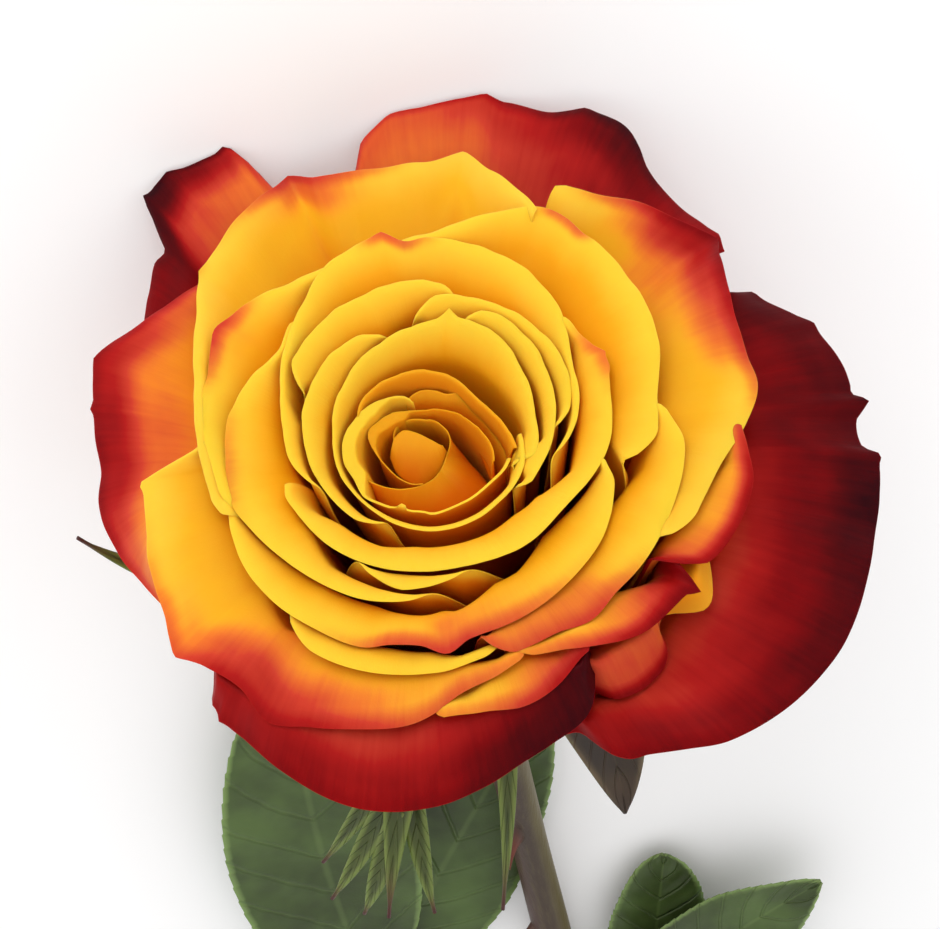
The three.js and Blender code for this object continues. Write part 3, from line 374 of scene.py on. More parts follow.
# From the bloom's frame in mm to the world in metres: along the three axes, and raised by
# bloomHeight. Heights under squeezeUnder become lowest plus squeeze times (height + squeezeFrom).
def fromBloom(points):
    world = points @ bloomAxes
    world[..., 2] += rose["bloomHeight"]
    low = world[..., 2] < rose["squeezeUnder"]
    pressed = rose["lowest"] + (world[..., 2] + rose["squeezeFrom"]) * rose["squeeze"]
    world[..., 2] = np.where(low, pressed, world[..., 2])
    return toWorld(world)


# The origin moved under the middle of the rose, and mm made metres
def toWorld(points):
    moved = points - np.array([rose["origin"][0], rose["origin"][1], 0.0])
    return moved * millimetre


# A closed thin body about a grid of points in mm. Its two faces lie half its thickness off the
# grid along the normals, which are the cross product of the grid's two directions.
def bladePart(grid, thickness, fields):
    rows, cols = grid.shape[:2]
    normal = np.cross(np.gradient(grid, axis=0), np.gradient(grid, axis=1))
    normal /= np.linalg.norm(normal, axis=2, keepdims=True) + 1e-12
    offset = normal * (thickness[..., None] / 2)
    points = np.concatenate([(grid + offset).reshape(-1, 3), (grid - offset).reshape(-1, 3)])
    at = np.arange(rows * cols).reshape(rows, cols)
    back = rows * cols
    front = np.stack([at[:-1, :-1], at[1:, :-1], at[1:, 1:], at[:-1, 1:]], 2).reshape(-1, 4)
    border = np.concatenate([at[0, :-1], at[:-1, -1], at[-1, :0:-1], at[:0:-1, 0]])
    following = np.roll(border, -1)
    rim = np.stack([border, following, following + back, border + back], 1)
    faces = np.concatenate([front, front[:, ::-1] + back, rim])
    values = {name: np.tile(value.ravel(), 2) for name, value in fields.items()}
    values["back"] = np.repeat([0.0, 1.0], rows * cols)
    return {"points": points, "faces": outward(points, faces), "fields": values}


# Faces turned so that the enclosed volume, the sum of a . (b x c) over them, is positive
def outward(points, faces):
    a, b, c, d = (points[faces[:, k]] for k in range(4))
    volume = np.einsum("ij,ij->", a, np.cross(b, c)) + np.einsum("ij,ij->", a, np.cross(c, d))
    return faces if volume > 0 else faces[:, ::-1]


# A closed body of rings: points is (rings, sides, 3), and each ring is joined to the next
def ringPart(points, fields, caps=None):
    count, sides = points.shape[:2]
    at = np.arange(count * sides).reshape(count, sides)
    following = np.roll(at, -1, axis=1)
    faces = np.stack([at[:-1], following[:-1], following[1:], at[1:]], 2).reshape(-1, 4)
    if caps is not None:
        faces = np.concatenate([faces, caps])
    points = points.reshape(-1, 3)
    values = {"u": np.tile(np.arange(sides) / sides, count),
              "v": np.repeat(np.linspace(0, 1, count), sides), **fields}
    return {"points": points, "faces": outward(points, faces), "fields": values}


# Rings about a line of centres in mm, square to it; the ends have next to no radius
def tubePart(centres, radii, sides):
    ahead = np.gradient(centres, axis=0)
    ahead /= np.linalg.norm(ahead, axis=1, keepdims=True)
    side = np.cross(ahead, [0.0, 0.0, 1.0])
    side /= np.linalg.norm(side, axis=1, keepdims=True)
    top = np.cross(side, ahead)
    angle = 2 * np.pi * np.arange(sides) / sides
    ring = (np.cos(angle)[None, :, None] * side[:, None, :] + np.sin(angle)[None, :, None] * top[:, None, :])
    return ringPart(centres[:, None, :] + ring * radii[:, None, None], {})


# Puts parts together as one mesh object at the origin: points in metres, quads, a UV map from
# the fields u and v, and every other field as a float attribute
def makePiece(node, ending, parts, place, finish):
    name = node + ending
    points = place(np.concatenate([p["points"] for p in parts]))
    starts = np.cumsum([0] + [len(p["points"]) for p in parts[:-1]])
    faces = np.concatenate([p["faces"] + start for p, start in zip(parts, starts)])
    mesh = bpy.data.meshes.new(name)
    mesh.vertices.add(len(points))
    mesh.vertices.foreach_set("co", points.astype(np.float32).ravel())
    mesh.loops.add(faces.size)
    mesh.loops.foreach_set("vertex_index", faces.astype(np.int32).ravel())
    mesh.polygons.add(len(faces))
    mesh.polygons.foreach_set("loop_start", np.arange(0, faces.size, 4, dtype=np.int32))
    mesh.polygons.foreach_set("use_smooth", np.ones(len(faces), bool))
    mesh.update(calc_edges=True)
    names = sorted(set().union(*[p["fields"] for p in parts]))
    fields = {key: np.concatenate([p["fields"].get(key, np.zeros(len(p["points"]))) for p in parts])
              for key in names}
    uv = np.stack([fields.pop("u")[faces.ravel()], fields.pop("v")[faces.ravel()]], 1)
    mesh.uv_layers.new(name="surface").data.foreach_set("uv", uv.astype(np.float32).ravel())
    for key, value in fields.items():
        layer = mesh.attributes.new(key, "FLOAT", "POINT")
        layer.data.foreach_set("value", value.astype(np.float32))
    mesh.materials.append(finish)
    piece = bpy.data.objects.new(name, mesh)
    bpy.context.scene.collection.objects.link(piece)
    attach(piece, "root")
    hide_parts(node)


# Shader helpers: each adds a node to the tree being built and returns its output socket
building = {}


def newNode(kind):
    return building["tree"].nodes.new(kind)


def connect(value, socket):
    if isinstance(value, bpy.types.NodeSocket):
        building["tree"].links.new(value, socket)
    else:
        socket.default_value = value


def attribute(name):
    node = newNode("ShaderNodeAttribute")
    node.attribute_name = name
    return node.outputs["Fac"]


def calc(operation, *values):
    node = newNode("ShaderNodeMath")
    node.operation = operation
    for value, socket in zip(values, node.inputs):
        connect(value, socket)
    return node.outputs[0]


def span(value, low, high):
    node = newNode("ShaderNodeMapRange")
    node.interpolation_type = "SMOOTHSTEP"
    for label, setting in (("Value", value), ("From Min", low), ("From Max", high)):
        connect(setting, node.inputs[label])
    return node.outputs["Result"]


def blend(share, first, second):
    node = newNode("ShaderNodeMix")
    node.data_type = "RGBA"
    for place, value in ((0, share), (6, first), (7, second)):
        connect(value, node.inputs[place])
    return node.outputs[2]


def noise(vector, stretch, detail, rough):
    mapping = newNode("ShaderNodeMapping")
    connect(stretch, mapping.inputs["Scale"])
    connect(vector, mapping.inputs["Vector"])
    node = newNode("ShaderNodeTexNoise")
    for label, value in (("Scale", 1.0), ("Detail", detail), ("Roughness", rough),
                         ("Vector", mapping.outputs["Vector"])):
        connect(value, node.inputs[label])
    return node.outputs["Fac"]


def ramp(value, stops):
    node = newNode("ShaderNodeValToRGB")
    bar = node.color_ramp
    while len(bar.elements) < len(stops):
        bar.elements.new(0.5)
    for element, (position, code) in zip(bar.elements, stops):
        element.position = position
        element.color = colour(code)
    connect(value, node.inputs["Fac"])
    return node.outputs["Color"]


# A group that turns colours and shares into the look of a tissue
def newGroup(name, colours, shares):
    group = bpy.data.node_groups.new(name, "ShaderNodeTree")
    building["tree"] = group
    sockets = [("INPUT", label, "Color") for label in colours]
    sockets += [("INPUT", label, "Float") for label in shares]
    sockets += [("OUTPUT", "Color", "Color"), ("OUTPUT", "Roughness", "Float"), ("OUTPUT", "Height", "Float")]
    for way, label, kind in sockets:
        group.interface.new_socket(name=label, in_out=way, socket_type="NodeSocket" + kind)
    return group, newNode("NodeGroupInput").outputs, newNode("NodeGroupOutput").inputs


# A material around a group: the group's colour, its roughness, and its height through a bump
def newMaterial(name, group, tones, bumpDistance, constants):
    material = bpy.data.materials.new(name)
    material.use_nodes = True
    building["tree"] = material.node_tree
    shader = material.node_tree.nodes["Principled BSDF"]
    for label, value in constants.items():
        shader.inputs[label].default_value = value
    tissue = newNode("ShaderNodeGroup")
    tissue.node_tree = group
    for label, value in tones.items():
        tissue.inputs[label].default_value = colour(value) if isinstance(value, str) else value
    bump = newNode("ShaderNodeBump")
    bump.inputs["Distance"].default_value = bumpDistance
    connect(tissue.outputs["Color"], shader.inputs["Base Color"])
    connect(tissue.outputs["Roughness"], shader.inputs["Roughness"])
    connect(tissue.outputs["Height"], bump.inputs["Height"])
    connect(bump.outputs["Normal"], shader.inputs["Normal"])
    return material


# Petal tissue: lip, body and throat colours follow the depth below the margin, partly the petal's own
# colour deepening towards its base and partly painted shade below the lips of the petals inside; blush
# goes through a ramp from yellow over coral to dark red, and fine streaks run up the petal
blushStops = [(0.0, "F2B224"), (0.2, "EC9426"), (0.35, "DA6C2A"), (0.5, "C23C28"), (0.65, "A41614"),
              (0.8, "7A0408"), (0.9, "540206"), (1.0, "280006")]
petalGroup, given, result = newGroup("petal_tissue", ["Lip", "Body", "Throat", "Rear"], ["Rear share"])
surface = newNode("ShaderNodeUVMap").outputs["UV"]
streak = noise(surface, (90, 5, 1), 4.0, 0.6)
blotch = noise(surface, (9, 7, 1), 3.0, 0.55)
grain = noise(surface, (420, 300, 1), 2.0, 0.6)
depth = attribute("depth")
uneven = calc("ADD", depth, calc("MULTIPLY_ADD", blotch, 6.0, -3.0))
lipToBody = blend(span(uneven, 0.5, 7.0), given["Lip"], given["Body"])
# Painted shade: the face is pulled towards the throat colour where it runs in under the next petal inside
inner = calc("MAXIMUM", span(uneven, 6.0, 22.0), calc("MULTIPLY", attribute("hollow"), 0.3))
toneWithShade = blend(inner, lipToBody, given["Throat"])
raw = attribute("blush")
shift = calc("ADD", calc("MULTIPLY_ADD", streak, 0.1, -0.05), calc("MULTIPLY_ADD", blotch, 0.24, -0.12))
red = calc("MULTIPLY_ADD", shift, span(raw, 0.02, 0.3), raw)
stained = blend(span(red, 0.02, 0.3), toneWithShade, ramp(red, blushStops))
rear = calc("MULTIPLY", calc("MULTIPLY", attribute("back"), span(depth, 0.5, 4.0)), given["Rear share"])
connect(blend(rear, stained, given["Rear"]), result["Color"])
connect(calc("MULTIPLY_ADD", blotch, 0.12, 0.44), result["Roughness"])
connect(calc("MULTIPLY_ADD", grain, 0.25, streak), result["Height"])

petalShader = {"Subsurface Weight": 0.6, "Subsurface Radius": (1.0, 0.62, 0.3),
               "Subsurface Scale": 0.0008, "Specular IOR Level": 0.05}
petalTones = {
    # The heart's tones are darker and more orange as painted shade deep in the bloom
    "petal_heart": ("E69A18", "D67404", "BC4A00", "CA6204", 0.7),
    "petal_inner": ("F6C032", "EEA812", "D46800", "DA7002", 0.7),
    "petal_middle": ("F2BE38", "EAAE1E", "D67C08", "D6740A", 0.6),
    # The outer petals' brown body and dark brown throat are painted shade near the bloom
    "petal_outer": ("DA8438", "C86A24", "A04C10", "A03824", 0.45),
    "petal_blush": ("EE9A24", "EA9414", "DE860C", "C4662E", 0.5),
}
toneNames = ("Lip", "Body", "Throat", "Rear", "Rear share")
finishes = {slot: newMaterial(slot + "_tissue", petalGroup, dict(zip(toneNames, tones)), 0.00006, petalShader)
            for slot, tones in petalTones.items()}

# Bands are (start, width) of a soft step
form = {
    "column": 0.7,
    "fewestColumns": 24,
    "rows": 54,
    "rowSpread": 1.6,
    "thickness": 0.46,
    "marginThickness": 0.16,
    "thinReach": 6,
    "curlReach": 0.06,
    "curlOut": 0.25,
    "curlDrop": 0.3,
    "ripple": 0.25,
    "rippleOut": 0.3,
    "rippleArcs": (46.0, 27.0, 15.0, 8.0),
    "bodySpan": 9,
    "bodyStep": 3,
    "bodyBand": (0.62, 0.38),
    "tipBand": (0.86, 0.14),
    "tipPower": 1.6,
    "shelfGap": 0.9,
    "shelfFar": [(0, 0.85), (11, 0.9), (12, 0.3), (13, 0)],
    "shelfNear": [(0, 0.9), (8, 0.9), (9, 0.55), (10.5, 0.5), (12, 0.2), (13, 0)],
    "shelfMost": 14,
    "shelfDepth": 0.07,
    "shelfSlope": 0.012,
    "slopeMost": 12,
    "shelfLift": 0.85,
    "liftSeats": (5, 2),
    "climbUnder": 0.6,
    "climbSeats": 12,
    "most": 9,
    "nearWidth": 1.2,
    "fallShare": 0.9,
    "tuckShare": 1.6,
    "tuckUnder": 0.8,
    "foldReach": 0.035,
    "bulgeReach": 0.3,
    "slimReach": 0.25,
    "faceReach": 0.55,
    "bellyReach": 0.4,
    "blushDepths": (0.0, 3.0, 9.0, 22.0),
    "uvLength": 100.0,
}
beside = {"margin": 20, "openHeight": 60.0, "trim": 0.06, "seatStep": 0.3, "widest": 6, "soften": 7}


# A soft step over one of the bands above
def rising(x, band):
    start, width = form[band]
    return smooth((x - start) / width)


# The height of a petal's margin: its own, or the dome's at its radius
def marginHeight(petal, azimuth, radius):
    return flowing(petal["high"], azimuth) if "high" in petal else domeHeight(radius)


# The radius and height of the margins next further in, over a petal's azimuths: the widest petal
# counts, then the neighbourhood's largest radius and lowest height, softened by their means
def neighbour(petal, azimuth):
    spots = np.arange(azimuth.min() - beside["margin"], azimuth.max() + beside["margin"] + 1)
    ownSeat = along(petal["seats"], spots)
    inside = np.zeros(len(spots))
    above = np.full(len(spots), beside["openHeight"])
    for other in petals:
        first, last = other["rim"][0][0], other["rim"][-1][0]
        trim = beside["trim"] * (last - first)
        for turn in (-360, 0, 360):
            at = spots + turn
            within = (at > first + trim) & (at < last - trim)
            within = within & (along(other["seats"], at) > ownSeat + beside["seatStep"])
            margin = flowing(other["rim"], at)
            wider = within & (margin > inside)
            above = np.where(wider, marginHeight(other, at, margin), above)
            inside = np.where(wider, margin, inside)
    widest = range(-beside["widest"], beside["widest"] + 1)
    soften = range(-beside["soften"], beside["soften"] + 1)
    inside = np.max([np.roll(inside, k) for k in widest], axis=0)
    above = np.min([np.roll(above, k) for k in widest], axis=0)
    inside, above = (np.mean([np.roll(line, k) for k in soften], axis=0) for line in (inside, above))
    return np.interp(azimuth, spots, inside), np.interp(azimuth, spots, above)


# A petal in (radius, height) about the bloom's axis, over azimuth and reach: both follow quartic
# curves from the seat to the margin. Its ends reach less far up, and tuck under the next petal
# inside. The body follows the rim's mean over 18 degrees, and takes the rim's own line and its
# tips only near the margin. Below the margin the face is drawn in and lifted towards the next
# petal inside as a shelf, then drawn in by fold and slim, and swelled out by bulge. Last, the
# margin is rolled out and down, and a ripple of four sines over the azimuth grows towards it.
def petalPart(petal, seed):
    rim = petal["rim"]
    first, last = rim[0][0], rim[-1][0]
    lengthAround = math.radians(last - first) * max(r for _, r in rim)
    cols = max(form["fewestColumns"], int(lengthAround / form["column"]))
    azimuth = np.linspace(first, last, cols)[None, :]
    t = 1 - (1 - np.linspace(0, 1, form["rows"])[:, None]) ** form["rowSpread"]

    # The two ends, and how much of the petal belongs to each
    share = (azimuth - first) / (last - first)
    fromEnds = (share / petal["ends"][0], (1 - share) / petal["ends"][1])
    free = petal.get("free", (0, 0))
    reach = t
    for away, kind in zip(fromEnds, free):
        reach = reach * (1 - rose["sideFall"] * (1 - smooth(away / form["fallShare"])) * (kind == 0))
    near = [1 - smooth(away / form["tuckShare"]) for away in fromEnds]
    ending = np.maximum(near[0] * (free[0] == 0), near[1] * (free[1] == 0))
    pointed = 1 - np.maximum(near[0] * (free[0] == 1), near[1] * (free[1] == 1))

    # The curve from the seat to the margin
    shape = profiles[petal["shape"]]
    seat = along(petal["seats"], azimuth)
    seatRadius = rose["seatRadius"] + seat * rose["seatRadiusStep"]
    seatHeight = rose["seatHeight"] + seat * rose["seatHeightStep"]
    radius = flowing(rim, azimuth)
    inside, above = neighbour(petal, azimuth)
    covered = inside > 0
    radius = radius - ending * np.clip(radius - inside + form["tuckUnder"], 0, form["most"]) * covered
    turns = range(-form["bodySpan"], form["bodySpan"] + 1, form["bodyStep"])
    body = np.mean([flowing(rim, np.clip(azimuth + k, first, last)) for k in turns], axis=0)
    tip = sum(size * np.clip(1 - np.abs(azimuth - spot) / width, 0, 1) ** form["tipPower"]
              for spot, size, width in petal.get("tips", [(0, 0, 1)]))
    body = body + (radius - body) * rising(reach, "bodyBand") ** 2 + tip * rising(reach, "tipBand") ** 2
    height = marginHeight(petal, azimuth, body)
    out = quartic([0, shape["belly"], shape["wall"], shape["shoulder"], 1], reach)
    up = quartic([0, 0, shape["rise"], shape["crest"], 1], reach)
    r = seatRadius + (body - seatRadius) * out
    h = seatHeight + (height - seatHeight) * up

    # The shelf: nearSide is 1 on the side of the bloom that faces the viewer
    band = radius - inside
    nearSide = smooth((1 - np.sin(np.radians(azimuth))) / form["nearWidth"])
    shelf = along(form["shelfFar"], seat) * (1 - nearSide) + along(form["shelfNear"], seat) * nearSide
    drawn = shelf * np.clip(band - form["shelfGap"], 0, form["shelfMost"]) * pointed
    depthShare = (form["shelfDepth"] * (2 - nearSide)
                  + form["shelfSlope"] * np.clip(band, 0, form["slopeMost"]))
    lowered = smooth((1 - reach) / depthShare) * smooth(reach / form["faceReach"])
    r = r - drawn * lowered
    climb = np.clip(above - form["climbUnder"] - height, 0, form["most"]) * covered
    climb = climb * (seat < form["climbSeats"])
    h = h + form["shelfLift"] * np.maximum(nearSide, rising(seat, "liftSeats")) * climb * lowered
    if "fold" in petal:
        folded = along(petal["fold"], azimuth) * smooth((1 - reach) / form["foldReach"])
        r = r - folded * smooth(reach / form["faceReach"])
    if "bulge" in petal:
        swell = np.clip(along(petal["bulge"], azimuth) - radius, 0, form["most"])
        r = r + swell * smooth((1 - reach) / form["bulgeReach"]) * smooth(reach / form["bellyReach"])
    if "slim" in petal:
        slimmed = along(petal["slim"], azimuth) * smooth((1 - reach) / form["slimReach"])
        r = r - slimmed * smooth(reach / form["bellyReach"])

    # The rolled and rippled margin
    chance = np.random.default_rng(seed)
    wave = np.zeros_like(azimuth)
    for arc in form["rippleArcs"]:
        part = (arc / form["rippleArcs"][0]) ** 0.7
        wave = wave + part * np.sin(2 * np.pi * (azimuth / arc + chance.random()))
    curl = np.clip(1 - (1 - t) / form["curlReach"], 0, 1) ** 2
    size = np.clip(radius / 30.0, 0.3, 1.3)
    r = r + form["curlOut"] * size * curl + form["rippleOut"] * form["ripple"] * size * wave * t ** 5
    h = h - form["curlDrop"] * size * curl + form["ripple"] * size * wave * t ** 4
    angle = np.radians(azimuth) + np.zeros_like(t)
    grid = np.stack([r * np.cos(angle), r * np.sin(angle), h + 0 * angle], 2)

    # The distance below the margin, the blush over it, and a painted shade where the face runs in under the
    # next petal inside
    lengths = np.linalg.norm(np.diff(grid, axis=0), axis=2)
    depth = np.concatenate([np.cumsum(lengths[::-1], axis=0)[::-1], np.zeros((1, cols))])
    stations = np.array([(*row, 0, 0, 0)[:5] for row in petal["blush"]], float)
    table = np.stack([np.interp(azimuth[0], stations[:, 0], stations[:, k] / 100) for k in (1, 2, 3, 4)])
    levels = np.array(form["blushDepths"])
    level = np.clip(np.searchsorted(levels, depth, side="right") - 1, 0, 2)
    local = smooth((depth - levels[level]) / (levels[level + 1] - levels[level]))
    column = np.arange(cols)[None, :] + np.zeros_like(level)
    blush = table[level, column] * (1 - local) + table[level + 1, column] * local
    thickening = (form["thickness"] - form["marginThickness"]) * smooth(depth / form["thinReach"])
    fields = {
        "u": np.radians(azimuth - first) * np.mean([v for _, v in rim]) / form["uvLength"] + 0 * t,
        "v": depth / form["uvLength"],
        "depth": depth,
        "blush": blush,
        # Painted shade field: 0 at the margin, full a little way below it, less where the next petal inside
        # comes close
        "hollow": smooth((1 - reach) / depthShare) * smooth(band / 2),
    }
    return bladePart(grid, form["marginThickness"] + thickening, fields)


# Sheets of the heart between an upper and a lower line of (azimuth, radius, height), swollen
# upwards by a half sine
heartSheets = {
    "petal_heart_curl": {
        "upper": [(137, 4.8, 42.4), (118, 4.5, 42.6), (99, 3.3, 42.4), (65, 2.3, 42), (22, 2.5, 41.6)],
        "lower": [(162, 4.8, 40.8), (193, 4.2, 40.2), (232, 3.6, 39.6), (263, 2.6, 39.4),
                  (322, 2, 39.4), (12, 2.8, 39.6)],
        "swell": 0.5,
    },
    "petal_heart_top": {
        "upper": [(-22, 11.4, 41.5), (10, 10, 42.5), (23, 9.7, 43), (36, 9.7, 43.2), (48, 9.4, 43.2),
                  (59, 8.6, 43.2), (68, 8.8, 43.2), (79, 8.9, 43.2), (88, 8.5, 43.2), (98, 7.6, 43.2)],
        "lower": [(-22, 8, 36), (20, 6.8, 38), (48, 6.4, 38.5), (79, 6.2, 38.5), (98, 6.4, 38.5)],
        "swell": 0.6,
    },
}
sheetForm = {"rows": 24, "cols": 60, "thickness": 0.25, "uvWidth": 0.15, "paintedShadeDepth": 5}


# Straight from the upper line to the lower one over t, raised by swell times sin(pi t)
def sheetPart(sheet):
    lines = []
    for line in (sheet["upper"], sheet["lower"]):
        points = [(r * math.cos(math.radians(a)), r * math.sin(math.radians(a)), h) for a, r, h in line]
        lines.append(throughPoints(points, sheetForm["cols"]))
    t = np.linspace(0, 1, sheetForm["rows"])[:, None, None]
    grid = lines[0] * (1 - t) + lines[1] * t
    grid[..., 2] += sheet["swell"] * np.sin(np.pi * t[..., 0])
    depth = np.linalg.norm(lines[0] - lines[1], axis=1) * t[..., 0]
    fields = {"u": np.linspace(0, sheetForm["uvWidth"], sheetForm["cols"]) + 0 * t[..., 0],
              "v": depth / form["uvLength"], "depth": depth, "blush": 0 * depth,
              # Painted shade field, growing down the sheet
              "hollow": smooth(depth / sheetForm["paintedShadeDepth"])}
    return bladePart(grid, np.full(depth.shape, sheetForm["thickness"]), fields)


for index, petal in enumerate(petals):
    node, slot = petal["node"], petal["slot"]
    parts = [petalPart(petal, index)]
    if node in heartSheets:
        parts.append(sheetPart(heartSheets[node]))
    makePiece(node, "_soft", parts, fromBloom, finishes[slot])
print("petals made")

# Outlines of blades: half width over the length s, each divided by about its largest value.
# Ovate: s to the power 0.55 times (1 - s) to the power 0.8
def ovate(s):
    return s ** 0.55 * (1 - s) ** 0.8 / 0.4015


# Rounded, a half ellipse: the square root of s (1 - s)
def rounded(s):
    return (s * (1 - s)) ** 0.5 / 0.5


# Lance, widest at a third: (0.45 + 1.5 s) times (1 - s) to the power 1.1
def lance(s):
    return (0.45 + 1.5 * s) * (1 - s) ** 1.1 / 0.66


blade = {
    "outline": ovate,
    "fold": 0.0,
    "teeth": 0.0,
    "toothCount": 0,
    "veins": 0.0,
    "veinCount": 9,
    "veinSlant": 1.6,
    "wave": 0.0,
    "waveCount": 2.5,
    "seed": 0,
    "thickness": 0.5,
    "leastWidth": 0.25,
    "rows": 60,
    "cols": 17,
}


# A blade along a quadratic curve: its half width follows an outline over the length, with saw
# teeth on it that also lean forwards, its halves are folded up by their distance from the midrib,
# its margins wave by a sine over the length, and rounded ribs stand between the side veins
def leafPart(line, up, halfWidth, **own):
    given = {**blade, **own}
    start, bend, end = (np.array(p, float) for p in line)
    s = np.linspace(0, 1, given["rows"])[:, None]
    centre = start * (1 - s) ** 2 + 2 * bend * s * (1 - s) + end * s ** 2
    ahead = 2 * (bend - start) * (1 - s) + 2 * (end - bend) * s
    ahead /= np.linalg.norm(ahead, axis=1, keepdims=True)
    across = np.cross(np.array(up, float), ahead)
    across /= np.linalg.norm(across, axis=1, keepdims=True)
    lift = np.cross(ahead, across)
    phase = (s * given["toothCount"]) % 1.0
    tooth = given["teeth"] * (phase ** 1.4 - 0.4) * np.sin(np.pi * np.clip(s * 1.02, 0, 1)) ** 0.3
    half = np.maximum(given["leastWidth"], halfWidth * given["outline"](s) + tooth)
    k = np.linspace(-1, 1, given["cols"])[None, :]
    side = np.abs(k)
    pushed = side ** 6 * tooth * 0.8
    chance = np.random.default_rng(given["seed"])
    turn = s * given["waveCount"] + chance.random() + 0.2 * np.sign(k)
    swell = given["wave"] * side ** 2 * np.sin(2 * np.pi * turn)
    vein = s * given["veinCount"] - side * given["veinSlant"]
    ribs = given["veins"] * (0.5 - 0.5 * np.cos(2 * np.pi * vein)) * side * (1 - side) * 4
    raised = side * half * given["fold"] + swell + ribs
    grid = (centre[:, None, :] + across[:, None, :] * (k * half)[..., None]
            + lift[:, None, :] * raised[..., None] + ahead[:, None, :] * pushed[..., None])
    thickness = given["thickness"] * (0.35 + 0.65 * smooth((1 - side) / 0.3)) + 0 * s
    fields = {"u": k + 0 * s, "v": s + 0 * k, "tip": s + 0 * k,
              "edge": smooth((side * half - half + 0.9) / 0.8)}
    return bladePart(grid, thickness, fields)


# Leaf tissue: dark green, paler along the midrib and side veins, pale green margin
leafGroup, given, result = newGroup("leaf_tissue", ["Blade", "Light", "Rear", "Margin", "Tip"],
                                    ["Tip share", "Vein share"])
coords = newNode("ShaderNodeTexCoord").outputs["Object"]
cloud = noise(coords, (60, 60, 60), 3.0, 0.6)
fine = noise(coords, (900, 900, 900), 3.0, 0.6)
split = newNode("ShaderNodeSeparateXYZ")
connect(newNode("ShaderNodeUVMap").outputs["UV"], split.inputs[0])
side = calc("ABSOLUTE", split.outputs["X"])
rows = calc("MULTIPLY", split.outputs["Y"], float(blade["veinCount"]))
phase = calc("ADD", calc("MULTIPLY_ADD", side, -blade["veinSlant"], rows),
             calc("MULTIPLY_ADD", cloud, 0.5, -0.25))
near = calc("ABSOLUTE", calc("SUBTRACT", calc("FRACT", phase), 0.5))
sideVein = calc("SUBTRACT", 1.0, span(near, 0.0, 0.1))
rib = calc("SUBTRACT", 1.0, span(side, 0.01, 0.06))
veins = calc("MULTIPLY", calc("MAXIMUM", sideVein, calc("MULTIPLY", rib, 1.6)), given["Vein share"])
mottled = blend(span(cloud, 0.3, 0.75), given["Blade"], given["Light"])
veined = blend(veins, mottled, given["Margin"])
rimmed = blend(attribute("edge"), veined, given["Margin"])
turned = blend(calc("MULTIPLY", attribute("back"), 0.7), rimmed, given["Rear"])
tipShare = calc("MULTIPLY", span(attribute("tip"), 0.82, 1.0), given["Tip share"])
connect(blend(tipShare, turned, given["Tip"]), result["Color"])
connect(calc("MULTIPLY_ADD", cloud, 0.25, 0.36), result["Roughness"])
connect(calc("SUBTRACT", calc("MULTIPLY", fine, 0.3), sideVein), result["Height"])

leafShader = {"Subsurface Weight": 0.12, "Subsurface Radius": (0.4, 1.0, 0.2),
              "Subsurface Scale": 0.0008, "Specular IOR Level": 0.4}
leafTones = {"Blade": "28340E", "Light": "4E642E", "Rear": "6C7C5C", "Margin": "7C9454",
             "Tip": "3A4A20", "Tip share": 0.0, "Vein share": 0.1}
sepalTones = {"Blade": "26320E", "Light": "48541A", "Rear": "5A6832", "Margin": "6C7C36",
              "Tip": "4A1410", "Tip share": 1.0, "Vein share": 0.1}
# Brown tones for the sepal at the right
brownSepalTones = {**sepalTones, "Blade": "2C2014", "Light": "5E4A2C", "Rear": "4A3A28", "Margin": "6A5A40",
            "Tip": "3A2A1C"}
finishes["leaf"] = newMaterial("leaf_tissue", leafGroup, leafTones, 0.00025, leafShader)
finishes["sepal"] = newMaterial("sepal_tissue", leafGroup, sepalTones, 0.00015, leafShader)
finishes["brownish"] = newMaterial("sepal_dry", leafGroup, brownSepalTones, 0.00015, leafShader)

# Sepals bend out from under the bloom to their tips; lobes leave them at a share of the length
sepals = [
    dict(node="sepal_left", azimuth=168, tip=(-49, 12.5, 19), reach=30, halfWidth=2.6, lobes=[]),
    dict(node="sepal_lobed", azimuth=232, tip=(-21.5, -33, -30), reach=14, halfWidth=3.4,
         lobes=[(0.42, (-29, -22, -31)), (0.55, (-29, -27, -33)), (0.68, (-25, -30, -34)),
                (0.5, (-15, -34, -30))]),
    dict(node="sepal_lower", azimuth=280, tip=(-5.5, -36, -30), reach=12, halfWidth=1.9, lobes=[]),
    dict(node="sepal_right", azimuth=322, tip=(14.5, -29.5, -22), reach=14, halfWidth=7.4, lobes=[],
         outline=ovate, finish="brownish"),
    dict(node="sepal_under", azimuth=56, tip=(15, 24, -16), reach=12, halfWidth=2.6,
         lobes=[(0.5, (22, 17, -15))]),
]
sepalForm = {"radius": 7.0, "height": -1.5, "drop": -3.0, "lean": 0.35, "fold": 0.3,
             "lobeWidth": 1.9, "lobeAhead": 0.12, "lobeBend": 0.45, "lobeRows": 30, "lobeCols": 9}


# The point at a share of a quadratic curve
def curvePoint(start, bend, end, share):
    return start * (1 - share) ** 2 + 2 * bend * share * (1 - share) + end * share ** 2


